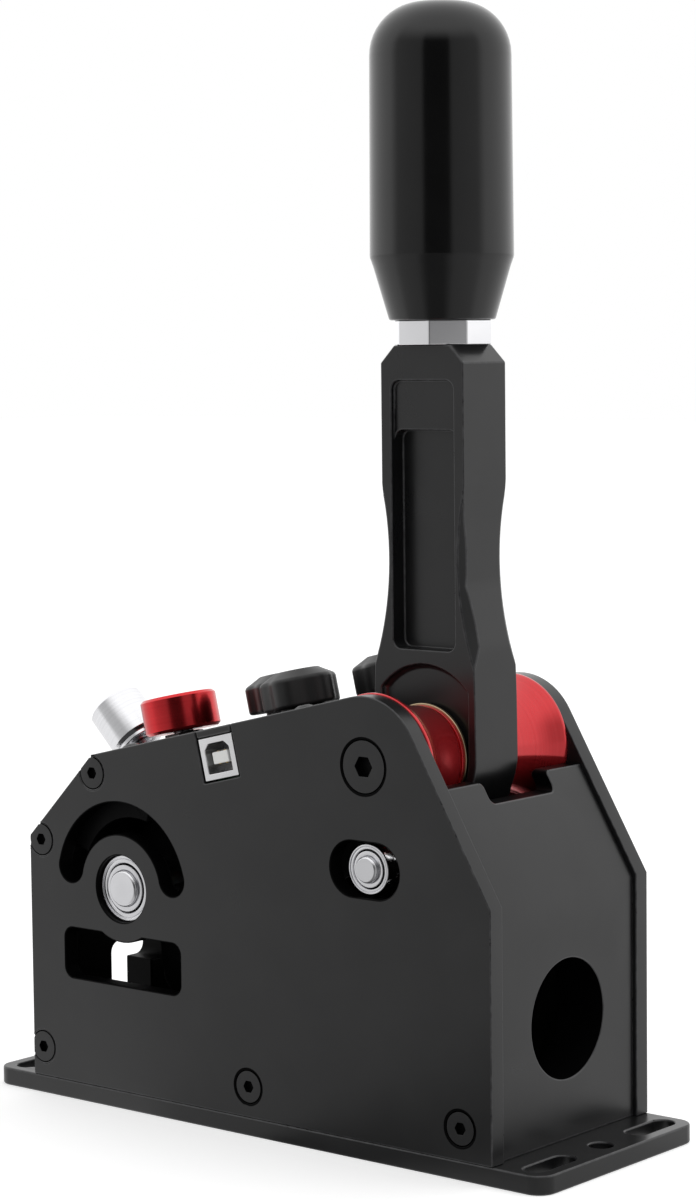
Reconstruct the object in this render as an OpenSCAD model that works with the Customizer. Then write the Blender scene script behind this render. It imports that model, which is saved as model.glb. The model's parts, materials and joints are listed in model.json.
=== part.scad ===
// Sequential gear shifter for a racing rig: lever on a pivot between two side plates.
// Millimetres. X runs along the base with the lever end at +X, Y across, Z up.
// The origin is the middle of the base plate's underside.

/* [Base plate] */
// Length of the base plate
base_l = 192; // [188:1:230]
// Width of the base plate, and over the side plates
base_w = 68; // [61:1:84]
// Thickness of the base plate
base_t = 5; // [4:0.5:8]
// Radius of the base plate's corners
base_r = 5; // [2:0.5:8]
// Width of a mounting slot
slot_w = 6.4; // [5:0.1:7.5]
// Length of a mounting slot from end to end
slot_len = 18; // [12:1:20]
// Distance from a side of the base to the middle of a slot
slot_side = 12; // [11.5:0.5:14]
// Distance from the end of the base to the slots' centre line
slot_edge = 6.7; // [6:0.1:8]

/* [Side plates] */
// Length of the side plates
plate_l = 161; // [156:1:166]
// Thickness of a side plate
plate_t = 5; // [4:0.5:6]
// Height of the front edge above the underside of the base
nose_z = 72.5; // [68:0.5:76]
// Size of the 45 degree cut at the front
nose_cut = 24.5; // [22:0.5:27]
// Height of the rear edge above the underside of the base
tail_z = 69.2; // [64:0.5:74]
// Distance from the rear edge to the lever's pivot
pivot_back = 40; // [37:0.5:42]
// Height of the lever's pivot
pivot_z = 101.5; // [99:0.5:106]
// Radius of the side plates round the pivot
hub_r = 18; // [17:0.5:20]
// Distance from the front edge to the front shaft
shaft_in = 35; // [34:0.5:36.5]
// Height of the front shaft
shaft_z = 61; // [59.5:0.5:62]
// Inner radius of the arc slot round the front shaft
arc_in = 15; // [12:0.1:16]
// Outer radius of the arc slot
arc_out = 23.8; // [21:0.1:25]
// Height of the window below the shaft
window_h = 14; // [10:0.5:16]
// Length of the window
window_l = 43.5; // [36:0.5:46]

/* [Covers] */
// How far the front pieces lie inside the side plates' edges
nose_recess = 0.6; // [0.4:0.1:1]
// How far the rear cover lies inside the side plates' edges
rear_recess = 1.2; // [0.6:0.1:2]
// How far the top cover lies below the side plates' edges
cover_drop = 1; // [0.6:0.1:1.5]
// Thickness of the top cover
cover_t = 3; // [2.5:0.5:4]
// Diameter of the round port in the rear cover
port_d = 31; // [26:0.5:33]
// Height of the round port's centre
port_z = 36.2; // [34:0.2:40]
// Width of the lever's notch in the rear cover
notch_w = 27; // [24:1:34]

/* [Lever] */
// Thickness of the lever
lever_t = 18; // [16.5:0.5:20]
// Width of the lever near the grip
lever_w = 27; // [25:0.5:29]
// Width of the lever at its waist
waist_w = 25.4; // [24.5:0.2:26.6]
// Radius of the lever's hub
lever_hub_r = 16.8; // [16.2:0.1:17]
// Height of the lever's top
lever_top = 207.5; // [200:0.5:215]
// Swing of the lever to each side, in degrees
swing = 9; // [6:0.5:9]
// Distance from the pivot down to the cross pin
pin_drop = 26.4; // [26:0.2:28]
// Width of a pocket in the lever's sides
pocket_w = 20.3; // [16:0.1:21]

/* [Grip] */
// Diameter of the grip at its widest
grip_d = 37.2; // [32:0.2:42]
// Diameter of the grip at its top
grip_top_d = 36.5; // [31:0.5:37]
// Height of the grip
grip_h = 81; // [70:1:95]
// Diameter of the grip's lower end
grip_foot_d = 27.4; // [25:0.2:30]
// Width across the flats of the lock collar
collar_af = 24; // [20:0.5:25]
// Height of the lock collar
collar_h = 6.4; // [5:0.2:9]

/* [Adjusters] */
// Diameter of the red adjuster knob
red_d = 21.4; // [17:0.2:22]
// Height of the red adjuster knob
red_h = 10.2; // [7:0.1:12]
// Diameter of the silver adjuster knob
silver_d = 16.4; // [13:0.2:18]
// Height of the silver adjuster knob
silver_h = 15.2; // [11:0.1:16]
// How far the silver knob stands off the front cut
silver_gap = 12.6; // [10:0.1:15]
// Sideways place of the silver adjuster
silver_y = 8; // [6.5:0.5:9]
// Outer diameter of a star knob
star_d = 21.6; // [16:0.2:22.8]
// Number of lobes of a star knob
star_lobes = 5; // [4:1:7]

/* [Hidden] */
$fn = 64;

// Clearances
touch = 0.05;
run_fit = 0.04;
side_gap = 0.4;
roller_gap = 0.7;
eps = 0.01;

// Colours
black_anodised = [0.10, 0.10, 0.11];
bare_steel = [0.72, 0.72, 0.74];
red_anodised = [0.75, 0.08, 0.10];
polished = [0.86, 0.86, 0.88];
moulded_black = [0.06, 0.06, 0.06];
brass_tan = [0.72, 0.60, 0.42];
board_green = [0.05, 0.22, 0.12];

// Main points in the side view, as [x, z]
half_w = base_w / 2;
slot_pitch = base_w - 2 * slot_side;
inner_y = half_w - plate_t;
front_x = -plate_l / 2;
rear_x = plate_l / 2;
pivot = [rear_x - pivot_back, pivot_z];
shaft = [front_x + shaft_in, shaft_z];
nose_low = [front_x, nose_z];
nose_top = [front_x + nose_cut, nose_z + nose_cut];
tail = [rear_x, tail_z];
pin = pivot - [0, pin_drop];
rocker_end = shaft - [0, pin_drop];

// Tangent point on a circle, seen from a point outside it; side picks one of the two
function tangent_point(p, c, r, side) =
    let (d = norm(c - p), a = atan2(c.y - p.y, c.x - p.x) + side * asin(r / d))
    p + sqrt(d * d - r * r) * [cos(a), sin(a)];

top_touch = tangent_point(nose_top, pivot, hub_r, 1);
tail_touch = tangent_point(tail, pivot, hub_r, -1);
top_tilt = atan2(top_touch.y - nose_top.y, top_touch.x - nose_top.x);
top_dir = [cos(top_tilt), sin(top_tilt)];
top_out = [-sin(top_tilt), cos(top_tilt)];
nose_tilt = 45;
nose_dir = [cos(nose_tilt), sin(nose_tilt)];
nose_out = [-sin(nose_tilt), cos(nose_tilt)];
nose_len = norm(nose_top - nose_low);
tail_dir = (tail_touch - tail) / norm(tail_touch - tail);
tail_out = [tail_dir.y, -tail_dir.x];

// Places along the sloped top (u, from the front corner) and along the front cut (s, from below)
function on_top(u, n) = nose_top + u * top_dir + n * top_out;
function on_nose(s, n) = nose_low + s * nose_dir + n * nose_out;
function on_tail(t, n) = tail + t * tail_dir + n * tail_out;
shaft_u = (shaft - nose_top) * top_dir;
top_reach = (nose_top - shaft) * top_out;
nose_reach = (nose_low - shaft) * nose_out;

// Screws: countersunk M5 and M8, button head M4
m5 = 5;
m5_head_d = 8.6;
m5_head_h = 2.3;
m5_len = 18;
m5_key = 3;
m8 = 8;
m8_head_d = 13.6;
m8_head_h = 3.4;
m8_len = 22;
m8_key = 5;
m4 = 4;
m4_head_d = 7.6;
m4_head_h = 2.2;
m4_len = 10;
m4_key = 2.5;
head_ring = 0.5;
head_sink = 0.2;
edge_in = 3.8;
foot_screw_z = base_t + 8.2;
nose_screw_low = 2.55;
nose_screw_end = 3.5;
nose_screw_in = 3.6;
rear_screw_in = 10;
front_screws = [
    on_nose(nose_screw_low, -nose_screw_in),
    on_nose(nose_len - nose_screw_end, -nose_screw_in),
    [front_x + edge_in, foot_screw_z]
];
side_screw_at = concat(front_screws, [[0, foot_screw_z], [rear_x - rear_screw_in, foot_screw_z]]);

// Blocks between the side plates
front_t = 10;
port_near_y = 12.9;
port_leg_y = 3;
port_arm_y = 9.7;
port_low = 18;
port_step = 32.6;
port_top = 40;
port_r = 3;
rear_t = 14;
slope_t = 5;
ear_z = pivot_z - 4.5;
notch_z = pivot_z - 9.8;
notch_corner_r = 1.8;
ear_r = 1.5;
foot_l = 12;
foot_h = 17;
split_s = 8;
split_in = 10;
block_u = 16;
block_deep = 9;
base_screw_in = 23;
base_screw_y = half_w - base_screw_in;
cover_front_u = 1.5;
cover_rear_u = 76;
cover_under = -cover_drop - cover_t;
bar_front_u = 64;
bar_h = 8;
bar_tenon = 2.5;
cover_screw_in = 4;
cover_screw_y = inner_y - cover_screw_in;
cover_screw_front_u = 7;
cover_screw_rear_u = 71.4;

// Pivot
axle_d = 12;
bearing_d = 24;
bearing_w = 6;
hub_recess = 1;
hub_y = lever_t / 2 - hub_recess;
washer_r = 13.8;
washer_t = 1;
washer_y = hub_y + 0.3;
bush_y = washer_y + washer_t;
bush_rim_r = hub_r + 0.3;
bush_rim_t = 0.8;
bush_end_r = 13.4;

// Cross pin, rollers and link
pin_d = 7;
pin_short = 0.2;
roller_d = 13;
roller_in = 1.6;
roller_w = plate_t - roller_in;
ring_inner_r = 4.7;
ring_outer_r = 5.1;
spacer_r = 4.7;
roller_slot_h = roller_d + 2 * roller_gap;
roller_slot_l = 2 * pin_drop * sin(swing) + roller_slot_h;
fork_gap = 10.8;
eye_r = 7;
link_t = fork_gap - 2 * side_gap;
link_w = 9;
arm_r = 8;
cheek_t = 5;
rocker_pin_head = 1;

// Front shaft
shaft_d = 10;
shaft_short = 0.4;
shaft_bearing_d = 18.4;
shaft_bearing_w = plate_t - roller_in;
shaft_ring_inner_r = 6.4;
shaft_ring_outer_r = 6.8;
quadrant_r = 18;
quadrant_y = 13;
quadrant_a0 = 90 + top_tilt - 26;
quadrant_a1 = 90 + nose_tilt + 26;
rocker_hub_r = 10;
cavity_r = quadrant_r + 0.8;
notch_r = 2.2;

// Detents
plunger_d = 6;
nose_gap = 0.3;
plunger_l = 2.4;
spigot_d = 2.6;
spigot_l = 1.6;
spring_wire = 0.6;
spring_d = 5.2;
spring_l = 5;
spring_turns = 4;
screw_tip = quadrant_r + nose_gap + plunger_d / 2 + plunger_l + spring_l;
red_gap = 2.4;
red_off = 1.9;
silver_off = 1.1;
nut_af = 10;
nut_h = 3;
knob_chamfer = 0.8;

// Star knobs
star_h = 7.6;
star_low = 1.6;
star_cap_d = 12;
star_cap_h = 2.4;
star_valley_r = 6;
star_valley_deep = 1.85;
star_turn = -5.1;
star_gap = 0.3;
star_stud_d = 6;
star_stud_l = 9;
front_star_u = 52.8;
front_star_y = -4;
left_star_u = 31.2;
left_star_y = 13.9;
left_star_lift = 1.2;
rear_star_u = 69.2;
rear_star_in = 13.1;
front_star = [front_star_u, front_star_y];
left_star = [left_star_u, left_star_y];
rear_star = [rear_star_u, inner_y - rear_star_in];

// Electronics, placed from the sloped top
usb_u = 46.2;
usb_w = 12.2;
usb_h = 11.3;
usb_l = 16;
usb_top = -2.3;
usb_gap = 0.5;
usb_wall = 0.9;
usb_recess = 0.3;
usb_mouth_w = 8.6;
usb_mouth_h = 8;
tongue_w = 5.6;
tongue_h = 3.2;
tongue_back = 0.8;
board_t = 1.6;
board_front_u = 34;
board_rear_u = 72;
board_side = 0.4;
board_far_y = 12;
board_u = [board_front_u, board_rear_u];
board_y = [board_side - inner_y, board_far_y];
board_top = usb_top - usb_h - 0.1;
usb_end_y = usb_recess + usb_l - half_w;
tray_boss_d = 10;
tray_edge = 1;
tray_front_u = left_star_u - tray_boss_d / 2 - tray_edge;
tray_rear_u = 63;
tray_gap = 1.2;
tray_far_y = left_star_y + tray_boss_d / 2 + tray_edge;
tray_u = [tray_front_u, tray_rear_u];
tray_y = [usb_end_y + tray_gap, tray_far_y];
tray_t = 3;
post_d = 5;
post_edge = 3;
post_near = 3.5;
post_front = 4;
post_far = 2.5;
post_u = [board_front_u + post_front, tray_rear_u - post_edge];
post_y = [tray_y[0] + post_near, board_far_y - post_far];
m25 = 2.5;
magnet_d = 5;
magnet_l = 2;
magnet_z = pivot_z - 2;

// Helpers

// Solid of a side-view outline between two Y values
module across(y0, y1) {
    translate([0, y1, 0]) rotate([90, 0, 0]) linear_extrude(height = y1 - y0) children();
}

// Axis along Y through a side-view point
module along_y(p, y) {
    translate([p.x, y, p.y]) rotate([-90, 0, 0]) children();
}

module on_top_frame() {
    translate([nose_top.x, 0, nose_top.y]) rotate([0, -top_tilt, 0]) children();
}

// Radial axis of a detent, with local Z running out from the front shaft
module detent_axis(tilt, y, off = 0) {
    translate([shaft.x, y, shaft.y]) rotate([0, -tilt, 0]) translate([off, 0, 0]) children();
}

module both_sides() {
    children();
    mirror([0, 1, 0]) children();
}

module rounded_rect(w, h, r) {
    square([w - 2 * r, h], center = true);
    square([w, h - 2 * r], center = true);
    for (x = [-1, 1], y = [-1, 1]) translate([x * (w / 2 - r), y * (h / 2 - r)]) circle(r);
}

// Bar of two round ends and the straight flanks that touch both
module tapered_bar(p, r1, q, r2) {
    d = norm(q - p);
    a = atan2(q.y - p.y, q.x - p.x);
    b = acos((r1 - r2) / d);
    translate(p) circle(r1);
    translate(q) circle(r2);
    polygon([for (e = [[p, r1, b], [p, r1, -b], [q, r2, -b], [q, r2, b]])
        e[0] + e[1] * [cos(a + e[2]), sin(a + e[2])]]);
}

// Box in the sloped top's frame
module top_box(u, y, n) {
    on_top_frame() translate([u[0], y[0], n[0]]) cube([u[1] - u[0], y[1] - y[0], n[1] - n[0]]);
}

// Countersunk screw with its head's face at Z = 0 and its tip below
module countersunk(d, head_d, head_h, l, key) {
    difference() {
        union() {
            translate([0, 0, -l]) cylinder(d = d, h = l - head_h / 2);
            translate([0, 0, -head_h]) cylinder(d1 = d, d2 = head_d, h = head_h);
        }
        translate([0, 0, -0.6 * head_h]) cylinder(d = key / cos(30), h = head_h, $fn = 6);
    }
}

module countersink(d, head_d, head_h, l) {
    ring = 2 * head_ring;
    translate([0, 0, -l]) cylinder(d = d + 2 * touch, h = l);
    translate([0, 0, -head_h - head_sink]) cylinder(d1 = d + 2 * touch, d2 = head_d + ring, h = head_h);
    translate([0, 0, -head_sink - eps]) cylinder(d = head_d + ring, h = 1);
}

module side_countersinks() {
    for (p = side_screw_at) along_y(p, half_w) countersink(m5, m5_head_d, m5_head_h, m5_len + 1);
}

// Threaded holes in the blocks that take the side screws
module side_taps() {
    both_sides() for (p = side_screw_at)
        along_y(p, half_w - m5_len - 1) cylinder(d = m5 + 2 * touch, h = m5_len + 1);
}

base_screw_at = [
    [front_x + nose_recess + front_t / 2, base_screw_y],
    [0, base_screw_y],
    [rear_x - rear_recess - rear_t / 2, base_screw_y]
];

module at_base_screws() {
    both_sides() for (p = base_screw_at) translate([p.x, p.y, 0]) rotate([180, 0, 0]) children();
}

module base_taps() {
    at_base_screws() translate([0, 0, -m5_len - 1]) cylinder(d = m5 + 2 * touch, h = m5_len + 1);
}

module at_cover_screws() {
    on_top_frame() {
        for (y = [-1, 1]) translate([cover_screw_front_u, y * cover_screw_y, -cover_drop]) children();
        translate([cover_screw_rear_u, -cover_screw_y, -cover_drop]) children();
    }
}

module cover_taps() {
    at_cover_screws() translate([0, 0, -m4_len - 1]) cylinder(d = m4 + 2 * touch, h = m4_len + 1);
}

module port(x0, x1) {
    translate([x0, 0, port_z]) rotate([0, 90, 0]) cylinder(d = port_d, h = x1 - x0);
}

// Opening of the front cover: an upright slot with an arm to one side at its top
module front_port(x0, x1) {
    translate([x0, 0, 0]) rotate([90, 0, 90]) linear_extrude(height = x1 - x0) {
        translate([(port_leg_y - port_near_y) / 2, (port_top + port_low) / 2])
            rounded_rect(port_leg_y + port_near_y, port_top - port_low, port_r);
        translate([(port_arm_y - port_near_y) / 2, (port_top + port_step) / 2])
            rounded_rect(port_arm_y + port_near_y, port_top - port_step, port_r);
    }
}

// Frame

module base_plate() {
    color(black_anodised) difference() {
        linear_extrude(height = base_t) rounded_rect(base_l, base_w, base_r);
        for (x = [-1, 1]) translate([x * (base_l / 2 - slot_edge), 0, -1]) {
            for (y = [-1, 1]) translate([0, y * slot_pitch / 2, 0])
                linear_extrude(height = base_t + 2) {
                    square([slot_w, slot_len - slot_w], center = true);
                    for (e = [-1, 1]) translate([0, e * (slot_len - slot_w) / 2]) circle(d = slot_w);
                }
            cylinder(d = slot_w, h = base_t + 2);
        }
        at_base_screws() countersink(m5, m5_head_d, m5_head_h, m5_len);
    }
}

module plate_outline() {
    polygon([
        [front_x, base_t], [rear_x, base_t], tail, tail_touch, pivot, top_touch, nose_top, nose_low
    ]);
    translate(pivot) circle(hub_r);
}

// Slot of constant width round the front shaft, with round ends level with the shaft
module arc_slot() {
    w = (arc_out - arc_in) / 2;
    mid = (arc_out + arc_in) / 2;
    a = asin(w / mid);
    far = 2 * arc_out;
    end_relief = 0.05;
    intersection() {
        difference() {
            circle(arc_out);
            circle(arc_in);
        }
        polygon([[0, 0], far * [cos(a), sin(a)], [far, far], [-far, far], far * [-cos(a), sin(a)]]);
    }
    for (x = [-1, 1]) translate([x * mid * cos(a), w]) circle(w + end_relief);
}

// Window below the shaft, with the bearing boss reaching into it
module window() {
    boss_r = arc_in - 0.2;
    low = 26.7;
    difference() {
        translate([0, -low + window_h / 2]) rounded_rect(window_l, window_h, 3);
        circle(boss_r);
    }
}

module side_plate_2d() {
    difference() {
        plate_outline();
        translate(shaft) {
            arc_slot();
            window();
            circle(d = shaft_bearing_d + 2 * touch);
        }
        translate(pin) {
            square([roller_slot_l - roller_slot_h, roller_slot_h], center = true);
            for (x = [-1, 1]) translate([x * (roller_slot_l - roller_slot_h) / 2, 0])
                circle(d = roller_slot_h);
        }
    }
}

// Right side plate; the left one is its mirror with the USB notch added
module side_plate() {
    difference() {
        across(inner_y, half_w) side_plate_2d();
        side_countersinks();
        along_y(pivot, half_w) countersink(m8, m8_head_d, m8_head_h, m8_len);
        top_box([bar_front_u - touch, cover_rear_u + touch], [0, inner_y + bar_tenon + touch],
            [cover_under - bar_h - touch, cover_under + touch]);
    }
}

module right_side_plate() {
    color(black_anodised) side_plate();
}

module left_side_plate() {
    color(black_anodised) difference() {
        mirror([0, 1, 0]) side_plate();
        top_box([usb_u - usb_w / 2 - usb_gap, usb_u + usb_w / 2 + usb_gap], [-half_w - 1, 0],
            [usb_top - usb_h - usb_gap, 5]);
    }
}

module front_end_cover() {
    x0 = front_x + nose_recess;
    knee = nose_recess * (1 - nose_dir.x) / nose_dir.x;
    color(black_anodised) difference() {
        across(-inner_y, inner_y) polygon([
            [x0, base_t], [x0 + front_t, base_t],
            [x0 + front_t, on_nose(split_s, -split_in).y - 2],
            on_nose(split_s, -split_in), on_nose(split_s, -nose_recess), on_nose(knee, -nose_recess)
        ]);
        front_port(front_x - 1, x0 + front_t + 1);
        side_taps();
        base_taps();
    }
}

// Opening for the lever, seen along X, with rounded corners below and at the ears
module lever_notch() {
    w = notch_w / 2;
    h = ear_z - notch_z;
    translate([0, notch_z + h]) rounded_rect(notch_w, 2 * h, notch_corner_r);
    for (s = [-1, 1]) difference() {
        translate([s * (w + ear_r / 2), ear_z]) square([ear_r + 2 * eps, 2 * ear_r], center = true);
        translate([s * (w + ear_r), ear_z - ear_r]) circle(ear_r);
    }
}

module rear_end_cover() {
    x1 = rear_x - rear_recess;
    x0 = x1 - rear_t;
    in = rear_recess + slope_t;
    function tail_at_x(n, x) = on_tail((x - tail.x - n * tail_out.x) / tail_dir.x, n);
    function tail_at_z(n, z) = on_tail((z - tail.y - n * tail_out.y) / tail_dir.y, n);
    color(black_anodised) difference() {
        across(-inner_y, inner_y) polygon([
            [x0, base_t], [x1, base_t], tail_at_x(-rear_recess, x1), tail_at_z(-rear_recess, ear_z),
            tail_at_z(-in, ear_z), tail_at_x(-in, x0)
        ]);
        translate([x0 - rear_t, 0, 0]) rotate([90, 0, 90]) linear_extrude(height = 3 * rear_t) lever_notch();
        along_y(pivot, -half_w) cylinder(r = bush_rim_r + touch, h = base_w);
        port(x0 - 1, rear_x + 1);
        side_taps();
        base_taps();
    }
}

module detent_block() {
    bend = nose_tilt - top_tilt;
    brow_s = nose_len - (cover_drop - nose_recess * cos(bend)) / sin(bend);
    color(black_anodised) difference() {
        across(-inner_y, inner_y) polygon([
            on_nose(split_s, -nose_recess), on_nose(brow_s, -nose_recess),
            on_top(cover_front_u - touch, -cover_drop), on_top(cover_front_u - touch, cover_under),
            on_top(block_u, cover_under), on_top(block_u, cover_under - block_deep), shaft,
            on_nose(split_s, -split_in)
        ]);
        along_y(shaft, -half_w) cylinder(r = cavity_r, h = base_w);
        detent_axis(top_tilt, 0, red_off) cylinder(d = plunger_d + 2 * run_fit, h = 2 * top_reach);
        detent_axis(nose_tilt, silver_y, silver_off)
            cylinder(d = plunger_d + 2 * run_fit, h = 2 * nose_reach);
        side_taps();
        cover_taps();
    }
}

module foot_block() {
    color(black_anodised) difference() {
        translate([-foot_l / 2, -inner_y, base_t]) cube([foot_l, 2 * inner_y, foot_h]);
        side_taps();
        base_taps();
    }
}

module cover_support_bar() {
    color(black_anodised) difference() {
        top_box([bar_front_u, cover_rear_u], [-inner_y - bar_tenon, inner_y + bar_tenon],
            [cover_under - bar_h, cover_under]);
        cover_taps();
        on_top_frame() translate([rear_star.x, rear_star.y, cover_under - bar_h - 1])
            cylinder(d = star_stud_d + 2 * run_fit, h = bar_h + 2);
    }
}

module top_cover() {
    color(black_anodised) difference() {
        union() {
            top_box([cover_front_u, cover_rear_u], [-inner_y, inner_y], [cover_under, -cover_drop]);
            top_box([usb_u - usb_w / 2, usb_u + usb_w / 2], [-half_w, -inner_y + 1],
                [usb_top + usb_gap / 2, 0]);
        }
        top_box([usb_u - usb_w / 2 - usb_gap, usb_u + usb_w / 2 + usb_gap],
            [-half_w, -half_w + usb_l + 1], [cover_under - 1, usb_top + usb_gap / 2]);
        at_cover_screws() translate([0, 0, -cover_t - 1]) cylinder(d = m4 + 2 * touch, h = cover_t + 2);
        on_top_frame() for (p = [front_star, left_star, rear_star])
            translate([p.x, p.y, cover_under - 1]) cylinder(d = star_stud_d + 0.6, h = cover_t + 2);
        detent_axis(top_tilt, 0, red_off) cylinder(d = plunger_d + 2 * run_fit, h = 2 * top_reach);
    }
}

// Fasteners

module side_screws() {
    color(black_anodised) both_sides() intersection() {
        for (p = side_screw_at)
            along_y(p, half_w - 0.1) countersunk(m5, m5_head_d, m5_head_h, m5_len, m5_key);
        across(0, half_w) plate_outline();
    }
}

module pivot_screws() {
    color(black_anodised) both_sides()
        along_y(pivot, half_w - 0.1) countersunk(m8, m8_head_d, m8_head_h, m8_len, m8_key);
}

module base_screws() {
    color(black_anodised) at_base_screws()
        translate([0, 0, -0.2]) countersunk(m5, m5_head_d, m5_head_h, m5_len - 1, m5_key);
}

module cover_screws() {
    dome_r = (m4_head_d * m4_head_d / 4 + m4_head_h * m4_head_h) / (2 * m4_head_h);
    color(black_anodised) at_cover_screws() difference() {
        union() {
            translate([0, 0, -m4_len]) cylinder(d = m4, h = m4_len + eps);
            intersection() {
                cylinder(d = m4_head_d, h = m4_head_h);
                translate([0, 0, m4_head_h - dome_r]) sphere(dome_r);
            }
        }
        translate([0, 0, 0.4]) cylinder(d = m4_key / cos(30), h = m4_head_h, $fn = 6);
    }
}

// Lever pivot

module pivot_axle() {
    color(bare_steel) difference() {
        along_y(pivot, -inner_y) cylinder(d = axle_d, h = 2 * inner_y);
        both_sides() along_y(pivot, half_w - m8_len - 1) cylinder(d = m8 + 2 * touch, h = m8_len + 1);
    }
}

// Spacer between a side plate and the lever: a broad rim that curves in to a narrow end
module pivot_bush() {
    l = inner_y - bush_y;
    flare = bush_rim_r - bush_end_r;
    run = l - bush_rim_t;
    arc_r = (flare * flare + run * run) / (2 * flare);
    along_y(pivot, bush_y) rotate_extrude() difference() {
        translate([axle_d / 2 + touch, 0]) square([bush_rim_r - axle_d / 2 - touch, l]);
        intersection() {
            translate([bush_end_r + arc_r, 0]) circle(arc_r, $fn = 180);
            translate([0, -1]) square([bush_rim_r, run + 1]);
        }
    }
}

module right_pivot_bush() {
    color(red_anodised) pivot_bush();
}

module left_pivot_bush() {
    color(red_anodised) mirror([0, 1, 0]) pivot_bush();
}

module thrust_washers() {
    color(brass_tan) both_sides() along_y(pivot, washer_y) difference() {
        cylinder(r = washer_r, h = washer_t);
        translate([0, 0, -1]) cylinder(d = axle_d + 2 * touch, h = washer_t + 2);
    }
}

// Lever

hub_side_up = 15.5;
flare_up = 29;
waist_low_up = 44.5;
waist_high_up = 61.5;
neck_up = 70.5;
top_cut = 4.5;
scallop_r = 96;
scallop_up = 51;
scallop_in = 1.2;
pocket_low_up = 27.6;
pocket_mid_up = 84.2;
pocket_top_up = 97;
pocket_deep = 5;
pocket_shallow = 1.5;
pocket_r = 2.5;

// Outline from the hub to the top, with the waist between
module lever_outline() {
    foot = pivot_z + hub_side_up;
    flare_z = pivot_z + flare_up;
    waist_low = pivot_z + waist_low_up;
    waist_high = pivot_z + waist_high_up;
    neck = pivot_z + neck_up;
    cut = top_cut;
    right = [
        [lever_hub_r, pivot_z], [lever_hub_r - 0.2, foot], [lever_hub_r - 0.6, flare_z],
        [waist_w / 2, waist_low], [waist_w / 2, waist_high], [lever_w / 2, neck],
        [lever_w / 2, lever_top - cut], [lever_w / 2 - cut, lever_top]
    ];
    left = [for (i = [len(right) - 1:-1:0]) [-right[i].x, right[i].y]];
    translate([pivot.x, 0]) polygon(concat(right, left));
    translate(pivot) circle(lever_hub_r);
    tapered_bar(pivot, lever_hub_r, pin, arm_r);
}

// Scalloped cuts that thin the four corners at the waist
module waist_scallops() {
    r = scallop_r;
    z = pivot_z + scallop_up;
    corner = norm([waist_w, lever_t]) / 2 - scallop_in;
    for (a = [1, -1], f = [0, 180]) {
        dir = atan2(a * lever_t, waist_w) + f;
        translate([pivot.x, 0, z]) rotate([0, 0, dir]) translate([corner + r, 0, 0])
            rotate([90, 0, 0]) cylinder(r = r, h = 60, center = true, $fn = 180);
    }
}

module lever_pockets() {
    deep_z = [pivot_z + pocket_low_up, pivot_z + pocket_mid_up];
    high_z = pivot_z + pocket_top_up;
    deep = pocket_deep;
    shallow = pocket_shallow;
    r = pocket_r;
    both_sides() {
        across(lever_t / 2 - deep, lever_t / 2 + 1)
            translate([pivot.x, (deep_z[0] + deep_z[1]) / 2])
                rounded_rect(pocket_w, deep_z[1] - deep_z[0], r);
        across(lever_t / 2 - shallow, lever_t / 2 + 1)
            translate([pivot.x, (deep_z[0] + high_z) / 2])
                rounded_rect(pocket_w, high_z - deep_z[0], r);
        across(lever_t / 2 - hub_deep, lever_t / 2 + 1) hub_pocket();
    }
}

// Pocket round the pivot, with an arched top
hub_deep = 2;
hub_pocket_r = 14.2;
hub_arch_r = 18.4;
hub_arch_up = 5.5;

module hub_pocket() {
    translate(pivot) {
        circle(hub_pocket_r);
        intersection() {
            translate([0, hub_arch_up]) circle(hub_arch_r);
            translate([-hub_pocket_r, 0]) square([2 * hub_pocket_r, 2 * hub_arch_r]);
        }
    }
}

stud_d = 10;
stud_in = 18;
stud_up = 30;

module lever() {
    color(black_anodised) difference() {
        across(-lever_t / 2, lever_t / 2) lever_outline();
        waist_scallops();
        lever_pockets();
        along_y(pivot, -lever_t) cylinder(d = axle_d + 2, h = 2 * lever_t);
        both_sides() along_y(pivot, hub_y - bearing_w) cylinder(d = bearing_d + 2 * touch, h = lever_t);
        translate([pin.x - 2 * arm_r, -fork_gap / 2, pin.y - 2 * arm_r])
            cube([4 * arm_r, fork_gap, 2 * arm_r + eye_r + 0.8]);
        along_y(pin, -lever_t) cylinder(d = pin_d + 2 * touch, h = 2 * lever_t);
        translate([pivot.x, 0, lever_top - stud_in - 1]) cylinder(d = stud_d + 2 * touch, h = stud_in + 2);
        translate([pivot.x - lever_hub_r - 1, 0, magnet_z]) rotate([0, 90, 0])
            cylinder(d = magnet_d + 2 * touch, h = magnet_l + 1.4);
    }
}

module lever_bearings() {
    color(bare_steel) both_sides() along_y(pivot, hub_y - bearing_w) difference() {
        cylinder(d = bearing_d, h = bearing_w);
        translate([0, 0, -1]) cylinder(d = axle_d + 2 * run_fit, h = bearing_w + 2);
    }
}

module magnet() {
    color(polished) translate([pivot.x - lever_hub_r + 0.4, 0, magnet_z]) rotate([0, 90, 0])
        cylinder(d = magnet_d, h = magnet_l);
}

module grip_stud() {
    color(bare_steel) translate([pivot.x, 0, lever_top - stud_in])
        cylinder(d = stud_d, h = stud_in + collar_h + stud_up);
}

module lock_collar() {
    edge = 0.8;
    color(polished) translate([pivot.x, 0, lever_top]) difference() {
        intersection() {
            rotate(180 / 8) cylinder(d = collar_af / cos(180 / 8), h = collar_h, $fn = 8);
            rotate_extrude() polygon([
                [0, 0], [collar_af / 2, 0], [collar_af / 2 + edge, edge],
                [collar_af / 2 + edge, collar_h - edge], [collar_af / 2, collar_h], [0, collar_h]
            ]);
        }
        translate([0, 0, -1]) cylinder(d = stud_d + 2 * touch, h = collar_h + 2);
    }
}

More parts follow.
